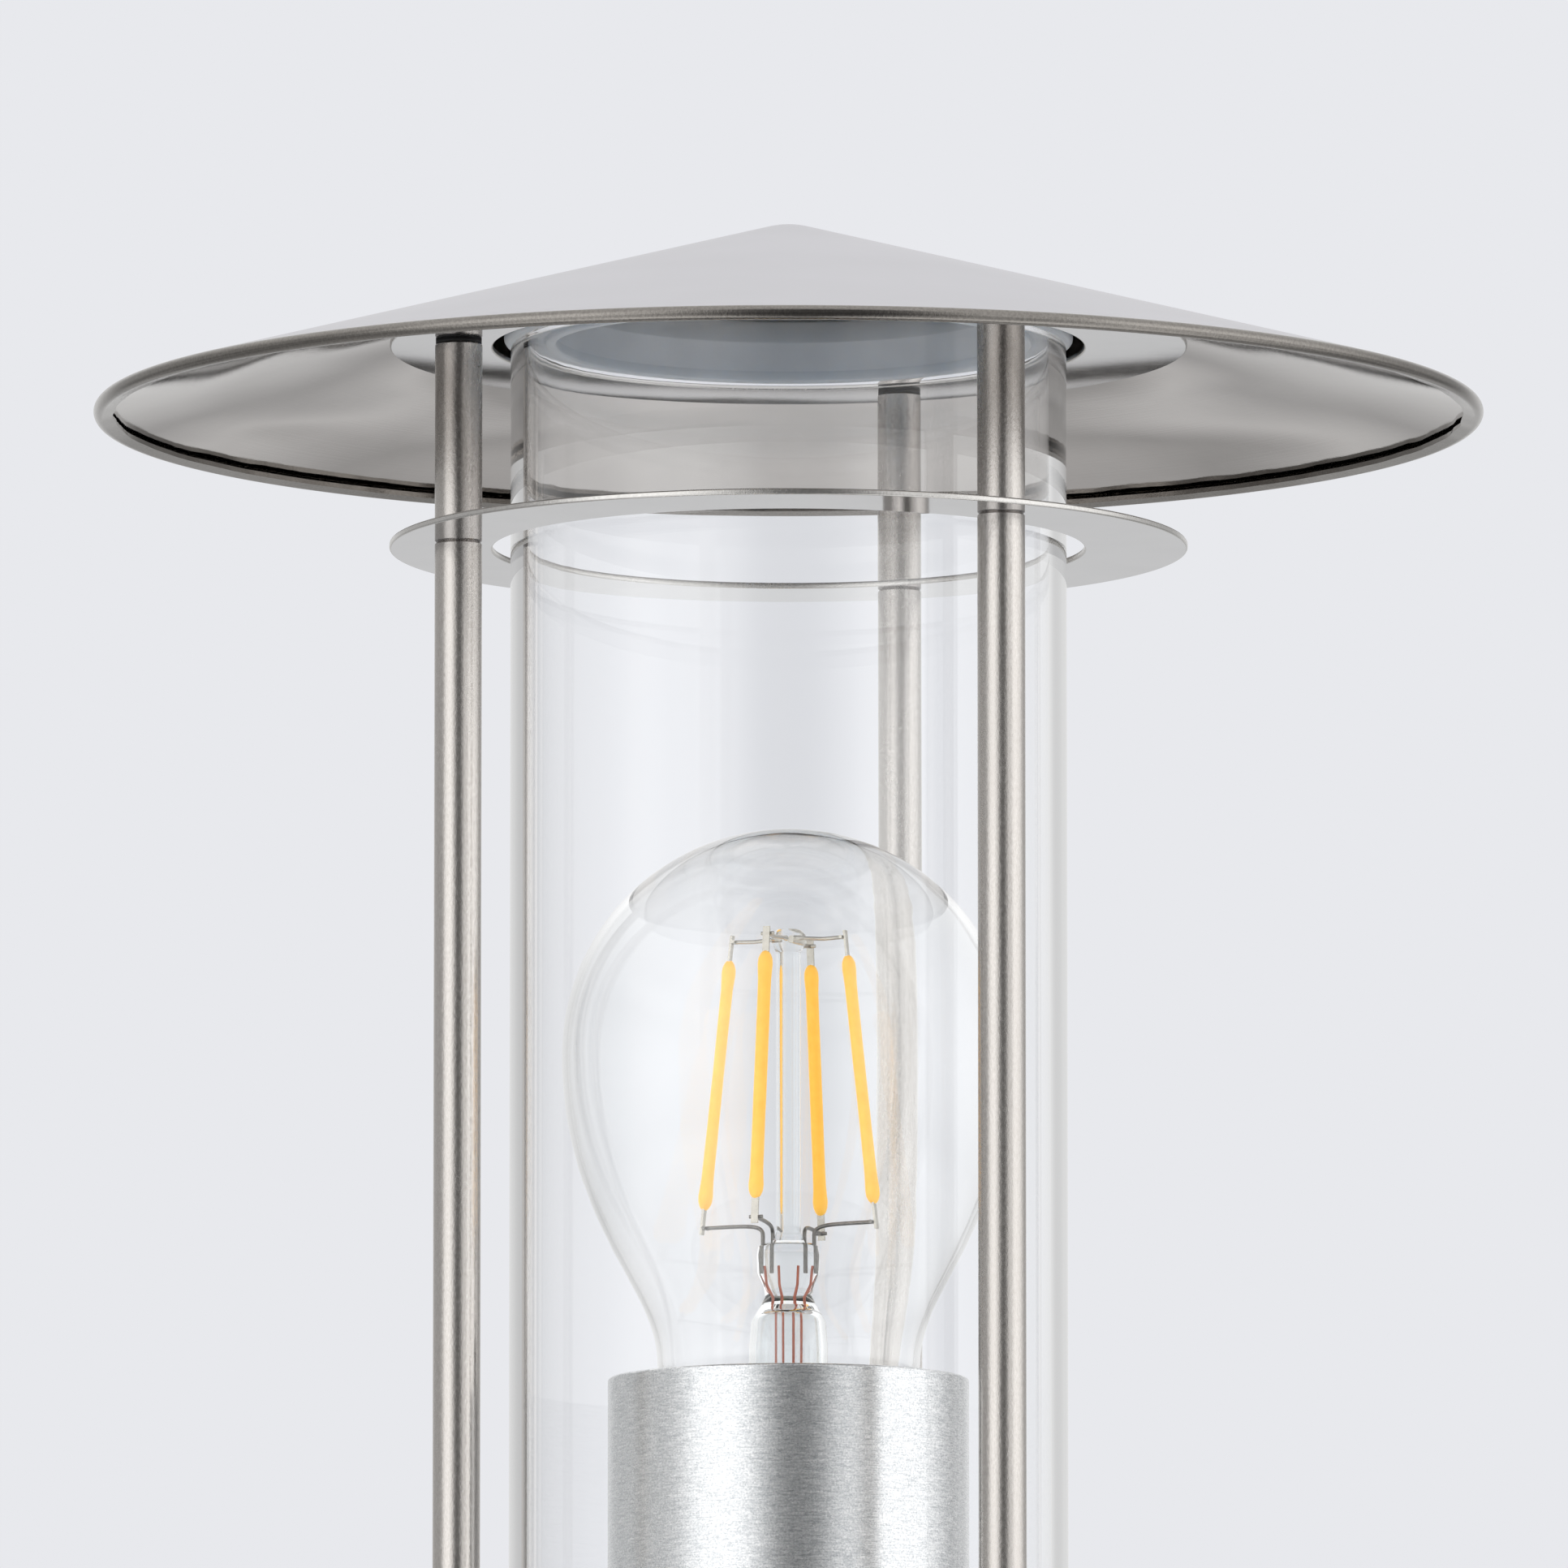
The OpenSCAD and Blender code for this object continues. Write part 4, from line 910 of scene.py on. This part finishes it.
knurl_shape = knurl_tree()
ridge = 0.42 * mm
hole = 2.05 * mm
for side, centre in zip(("back", "left", "right"), post_centres):
    low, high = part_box(f"thumb_nut_{side}")
    r = (high.x - low.x) / 2
    body_radius = r - 0.35 * mm
    nut_mesh = bmesh.new()
    turn(nut_mesh, [(hole + 0.4 * mm, low.z), (body_radius - 0.7 * mm, low.z),
                    (body_radius, low.z + 0.7 * mm), (body_radius, high.z - 2.0 * mm),
                    (body_radius - 0.7 * mm, high.z - 1.4 * mm),
                    (body_radius - 0.9 * mm, high.z), (hole + 0.3 * mm, high.z), (hole, high.z - 0.4 * mm),
                    (hole, low.z + 0.4 * mm)], 96, centre)
    ridges = grown(f"knurl_{side}", knurl_shape, {"Radius": r - ridge, "Ridge": ridge,
                                                  "Height": high.z - low.z - 3.4 * mm, "Finish": nut_steel})
    placed(nut_mesh, ridges, [(centre[0], centre[1], low.z + 0.9 * mm)])
    fitted(f"thumb_nut_{side}_knurled", nut_mesh, nut_steel, f"nut_{side}", f"thumb_nut_{side}",
           30)


# ---- Rings
# Two flat rings cut from thin stainless sheet. The lower one is clamped between the long and the
# short rods. The hood is welded to the upper one. Their faces are buffed like a mirror, and their cut
# edges are lighter and satin.

ring_hole = 39.4 * mm
ring_round = 0.22 * mm
for name in ("lower_ring", "upper_ring"):
    low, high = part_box(name)
    ring_mesh = bmesh.new()
    flat_disc(ring_mesh, high.x, ring_hole, low.z, high.z, ring_round)
    fitted(f"{name}_buffed", ring_mesh, [ring_polish, cut_edge], "cage", name)
dress("hood_tacks", weld_steel, 0.1)


# ---- Seal over the glass
# A milky silicone ring on the glass's top edge. Its bead grips the outside, its lip drops inside, and
# its body fills up to the cone, so the hood presses the glass down.

top_low, top_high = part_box("top_seal")
flange = top_high.x
flange_top = glass_high.z + 1.7 * mm
plug = bore - 2.2 * mm
shoulder = bore + 0.8 * mm
crown = bore - 5.5 * mm
hood_low, hood_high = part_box("hood")
slope = math.radians(15.3)
sheet = 0.7 * mm
tip_radius = 12 * mm
apex = hood_high.z - tip_radius + tip_radius / math.cos(slope)


def cone_inside(r):
    return apex - r * math.tan(slope) - sheet / math.cos(slope)


top_mesh = bmesh.new()
turn(top_mesh, outline((plug - seal_lip, top_low.z, 0.4 * mm), (plug, top_low.z, 0.4 * mm),
                       (plug, glass_high.z, 0.2 * mm), (flange, glass_high.z, 0.7 * mm),
                       (flange, flange_top, 0.7 * mm), (shoulder, flange_top, 0.3 * mm),
                       (shoulder, cone_inside(shoulder) - 0.06 * mm, 0.3 * mm),
                       (crown + 0.8 * mm, cone_inside(crown + 0.8 * mm) - 0.06 * mm, 0.25 * mm),
                       (crown, flange_top + 2.8 * mm, 0.3 * mm),
                       (plug - seal_lip, top_low.z + 1.5 * mm, 0.3 * mm)), 256)
fitted("top_seal_cast", top_mesh, silicone, "cage", "top_seal", 50)


# ---- Hood
# A cone spun from one stainless blank to a blunt tip. Its rim is folded under into a hem that ends in
# a rough sheared edge. The top is satin, and the underside keeps the sheet's softer polish.

def spun_steel(name, colours, rough, lines, swell):
    # Spun stainless: rings a fraction of a millimetre apart from the roller, broad swells where it
    # was pressed unevenly, and cloudy patches. lines and swell are their depths in millimetres.
    material, tree, place = new_finish(name)
    flat = add(tree, "ShaderNodeMapping", {"Vector": place, "Scale": (1, 1, 0)})
    across = add(tree, "ShaderNodeVectorMath", {0: flat}, operation="LENGTH")
    spun = add(tree, "ShaderNodeTexNoise", {"W": across, "Scale": 1 / (0.5 * mm), "Detail": 2.0},
               noise_dimensions="1D")
    cloud = add(tree, "ShaderNodeTexNoise", {"Vector": place, "Scale": 1 / (26 * mm), "Detail": 5.0,
                                             "Roughness": 0.6})
    grain = add(tree, "ShaderNodeTexNoise", {"Vector": place, "Scale": 1 / (0.3 * mm), "Detail": 1.0})
    drift = add(tree, "ShaderNodeTexNoise", {"Vector": place, "Scale": 1 / (45 * mm), "Detail": 1.0})
    wander = add(tree, "ShaderNodeMath", {0: drift, 1: 16 * mm, 2: across},
                 operation="MULTIPLY_ADD")
    broad = add(tree, "ShaderNodeTexNoise", {"W": wander, "Scale": 1 / (24 * mm), "Detail": 0.0},
                noise_dimensions="1D")
    waves = add(tree, "ShaderNodeBump", {"Height": broad, "Distance": swell * mm, "Strength": 1.0})
    rings = add(tree, "ShaderNodeBump", {"Height": spun, "Distance": lines * mm, "Strength": 0.4,
                                         "Normal": waves})
    pattern_surface(tree, cloud, colours, cloud, rough, grain, 0.01, 0.4, rings,
                    Metallic=1.0)
    return material


hood_top = spun_steel("satin_spun_stainless", ("bab9be", "cbcacf"), (0.3, 0.4), 0.012, 0.1)
hood_under = spun_steel("soft_polished_stainless", ("b2aeab", "cfcbc8"), (0.035, 0.12), 0.01, 1.7)
# The hem is a darker copy of the hood's steel: painted shade in the fold under the rim
hem_steel_painted_shade = satin_steel("folded_stainless_hem_painted_shade", ("6e6a66", "9c9893"), (0.12, 0.24), (1, 1, 1), 0.35, 0.03)

hem_gap = 0.5 * mm
hem_height = 2 * sheet + hem_gap
hem_leg = 2.5 * mm - hem_height / 2
hem_radius = hood_high.x - hem_height / 2
hem_middle = Vector((hem_radius, apex - hem_radius * math.tan(slope) - hem_height / 2 / math.cos(slope)))


def in_hem(x, y):
    """A point in the hem's own frame: x down the slope, y square to the sheet."""
    return hem_middle + Vector((x * math.cos(slope) + y * math.sin(slope),
                                -x * math.sin(slope) + y * math.cos(slope)))


def fold(radius, start, end, steps=16):
    return [in_hem(radius * math.cos(t), radius * math.sin(t))
            for t in (start + (end - start) * k / steps for k in range(steps + 1))]


def tip(radius, start, end, steps=10):
    return [Vector((radius * math.sin(t), apex - tip_radius / math.cos(slope) + radius * math.cos(t)))
            for t in (start + (end - start) * k / steps for k in range(steps + 1))]


def up_slope(start, end, steps):
    """Even steps along the cone, so that its faces stay near square."""
    return [start.lerp(end, k / steps) for k in range(1, steps)]


outer_tip, inner_tip = tip(tip_radius, 0, slope), tip(tip_radius - sheet, slope, 0)
outer_fold = fold(hem_height / 2, math.pi / 2, -math.pi / 2)
inner_fold = fold(hem_gap / 2, -math.pi / 2, math.pi / 2)
outer_tip[0].x = inner_tip[-1].x = 0
slope_steps = 40
hood_line = (outer_tip + up_slope(outer_tip[-1], outer_fold[0], slope_steps) + outer_fold
             + [in_hem(-hem_leg, -hem_height / 2), in_hem(-hem_leg, -hem_gap / 2)]
             + inner_fold + up_slope(inner_fold[-1], inner_tip[0], slope_steps) + inner_tip)
fold_start = len(outer_tip) + slope_steps - 1
lip = fold_start + len(outer_fold)
under_start = lip + 2 + len(inner_fold) - 1
hood_slots = [0 if k < fold_start else 2 if k < under_start else 1 for k in range(len(hood_line))]


def sheared(k, r, z, a):
    """The hem's cut edge wanders by a few tenths of a millimetre."""
    if k in (lip, lip + 1):
        wander = noise.noise(Vector((math.cos(a) * 14, math.sin(a) * 14, 0.3)))
        ragged = noise.noise(Vector((math.cos(a) * 130, math.sin(a) * 130, k)))
        return r + (0.3 * wander + 0.12 * ragged) * mm, z
    return r, z


hood_mesh = bmesh.new()
turn(hood_mesh, hood_line, 384, at_angle=sheared, slots=hood_slots)
fitted("hood_spun", hood_mesh, [hood_top, hood_under, hem_steel_painted_shade], "cage", "hood", 40)


# ---- Studio
# A pale floor that runs into a pale sky, and one large soft lamp for gentle shadows. What the metal
# and the glass mirror is a studio with two tall soft boxes in front and darkness between them.

floor_mesh = bmesh.new()
turn(floor_mesh, [(0, 0), (2, 0), (9, 0)], 96, closed=False)
floor_data = bpy.data.meshes.new("floor")
floor_mesh.to_mesh(floor_data)
floor_mesh.free()
# Matt paper paint: nearly white, without a reflection
floor_paint = bpy.data.materials.new("pale_paper_floor")
floor_paint.use_nodes = True
surface(floor_paint.node_tree, Base_Color=linear("f3f3f5"), Roughness=0.9)
floor_data.materials.append(floor_paint)
floor = bpy.data.objects.new("floor", floor_data)
bpy.context.scene.collection.objects.link(floor)
floor.visible_glossy = False

view_turn = math.radians(21)
toward_camera = Vector((math.sin(view_turn), -math.cos(view_turn), 0))
to_right = Vector((math.cos(view_turn), math.sin(view_turn), 0))

world = bpy.data.worlds.new("studio")
bpy.context.scene.world = world
world.use_nodes = True
sky = world.node_tree
sky.nodes.clear()
way = add(sky, "ShaderNodeTexCoord").outputs["Generated"]
ahead = add(sky, "ShaderNodeVectorMath", {0: way, 1: toward_camera}, operation="DOT_PRODUCT")
aside = add(sky, "ShaderNodeVectorMath", {0: way, 1: to_right}, operation="DOT_PRODUCT")
bearing = add(sky, "ShaderNodeMath", {0: aside, 1: ahead}, operation="ARCTAN2")
spread = add(sky, "ShaderNodeMapRange", {"Value": bearing, "From Min": -math.pi, "From Max": math.pi})
boxes = add(sky, "ShaderNodeValToRGB", {"Fac": spread})


def fill_ramp(ramp, stops):
    """Grey levels at (position, level) stops."""
    for position, level in stops[1:-1]:
        ramp.elements.new(position)
    for element, (position, level) in zip(ramp.elements, stops):
        element.position, element.color = position, (level, level, level, 1)


# Brightness by bearing in degrees from the camera, right positive
STUDIO = ((-180, 0.84), (-158, 0.82), (-146, 0.55), (-82, 0.5), (-72, 0.7), (-60, 1.5), (-34, 1.7),
          (-20, 1.1), (-9, 0.3), (-2, 0.15), (14, 0.15), (22, 0.4), (29, 0.9), (37, 1.2), (44, 0.85),
          (51, 1.3), (60, 1.7), (86, 1.5), (104, 1.2), (118, 0.7), (146, 0.45), (158, 0.82), (180, 0.84))
fill_ramp(boxes.color_ramp, [((degrees + 180) / 360, level) for degrees, level in STUDIO])
height = add(sky, "ShaderNodeSeparateXYZ", {0: way}).outputs["Z"]
# In front of the lantern the darkness between the boxes reaches higher
in_front = add(sky, "ShaderNodeMath", {0: ahead, 1: 0.0}, operation="MAXIMUM")
raised = add(sky, "ShaderNodeMath", {0: in_front, 1: -0.3, 2: height}, operation="MULTIPLY_ADD")
overhead = add(sky, "ShaderNodeMapRange", {"Value": raised, "From Min": 0.2, "From Max": 0.75,
                                           "To Max": 1.0}, interpolation_type="SMOOTHSTEP")
below = add(sky, "ShaderNodeValToRGB", {"Fac": add(sky, "ShaderNodeMapRange", {
    "Value": height, "From Min": -1.0, "From Max": 0.0})})
# Brightness by height below the horizon, from straight down to level
GROUND = ((0.0, 1.0), (0.33, 0.78), (0.48, 0.54), (0.6, 0.86), (0.72, 0.54), (0.84, 0.78), (1.0, 1.0))
fill_ramp(below.color_ramp, GROUND)
grounded = add(sky, "ShaderNodeMix", {0: 1.0, 6: boxes, 7: below},
               data_type="RGBA", blend_type="MULTIPLY")
mirrored = add(sky, "ShaderNodeMix", {0: overhead, 6: grounded, 7: (1.05, 1.05, 1.05, 1)},
               data_type="RGBA")
path = add(sky, "ShaderNodeLightPath")
# Behind glass the reflections are paler, since light reaches the inner pieces from all round
behind_glass = add(sky, "ShaderNodeMapRange", {"Value": path.outputs["Transmission Depth"], "From Min": 1.5,
                                              "From Max": 7.4, "To Max": 0.8})
veiled = add(sky, "ShaderNodeMix", {0: behind_glass, 6: mirrored, 7: (1.35, 1.35, 1.35, 1)}, data_type="RGBA")
mirror_seen = add(sky, "ShaderNodeMath", {0: path.outputs["Glossy Depth"], 1: 0.5}, operation="GREATER_THAN")
# The sky pales upwards from the horizon, so that the floor runs into it without a line
above = add(sky, "ShaderNodeMapRange", {"Value": height, "From Max": 0.09}, interpolation_type="SMOOTHSTEP")
plain = add(sky, "ShaderNodeMix", {0: above, 6: linear("dcdde1"), 7: linear("e8e9ed")}, data_type="RGBA")
seen = add(sky, "ShaderNodeMix", {0: mirror_seen, 6: plain, 7: veiled}, data_type="RGBA")
light = add(sky, "ShaderNodeBackground", {"Color": seen, "Strength": 1.0})
add(sky, "ShaderNodeOutputWorld", {"Surface": light})
world.cycles.sampling_method = "NONE"

lamp_data = bpy.data.lights.new("soft_lamp", "AREA")
lamp_data.shape = "RECTANGLE"
lamp_data.size, lamp_data.size_y = 1.2, 1.6
lamp_data.energy = 14
lamp = bpy.data.objects.new("soft_lamp", lamp_data)
lamp.location = toward_camera * 1.1 - to_right * 1.3 + Vector((0, 0, 1.7))
lamp.rotation_mode = "QUATERNION"
lamp.rotation_quaternion = (Vector((0, 0, 0.25)) - lamp.location).to_track_quat("-Z", "Y")
lamp.visible_glossy = False
lamp.visible_transmission = False
lamp.visible_camera = False
bpy.context.scene.collection.objects.link(lamp)

bpy.context.scene.view_settings.view_transform = "Standard"
bpy.context.scene.view_settings.look = "None"


# ---- Camera
# A long lens a little above the ground, looking slightly up at the head from the front and a little
# to the right.

rim_z = hood_low.z + hem_height / 2
camera_data = bpy.data.cameras.new("camera")
camera_data.lens = 435.5
camera_data.sensor_width = 36
camera_data.clip_start, camera_data.clip_end = 0.1, 60
camera = bpy.data.objects.new("camera", camera_data)
target = Vector((0, 0, rim_z - 49.5 * mm)) - to_right * 0.6 * mm
camera.location = toward_camera * 2.5 + Vector((0, 0, 60 * mm))
camera.rotation_mode = "QUATERNION"
camera.rotation_quaternion = (target - camera.location).to_track_quat("-Z", "Y")
bpy.context.scene.collection.objects.link(camera)
bpy.context.scene.camera = camera
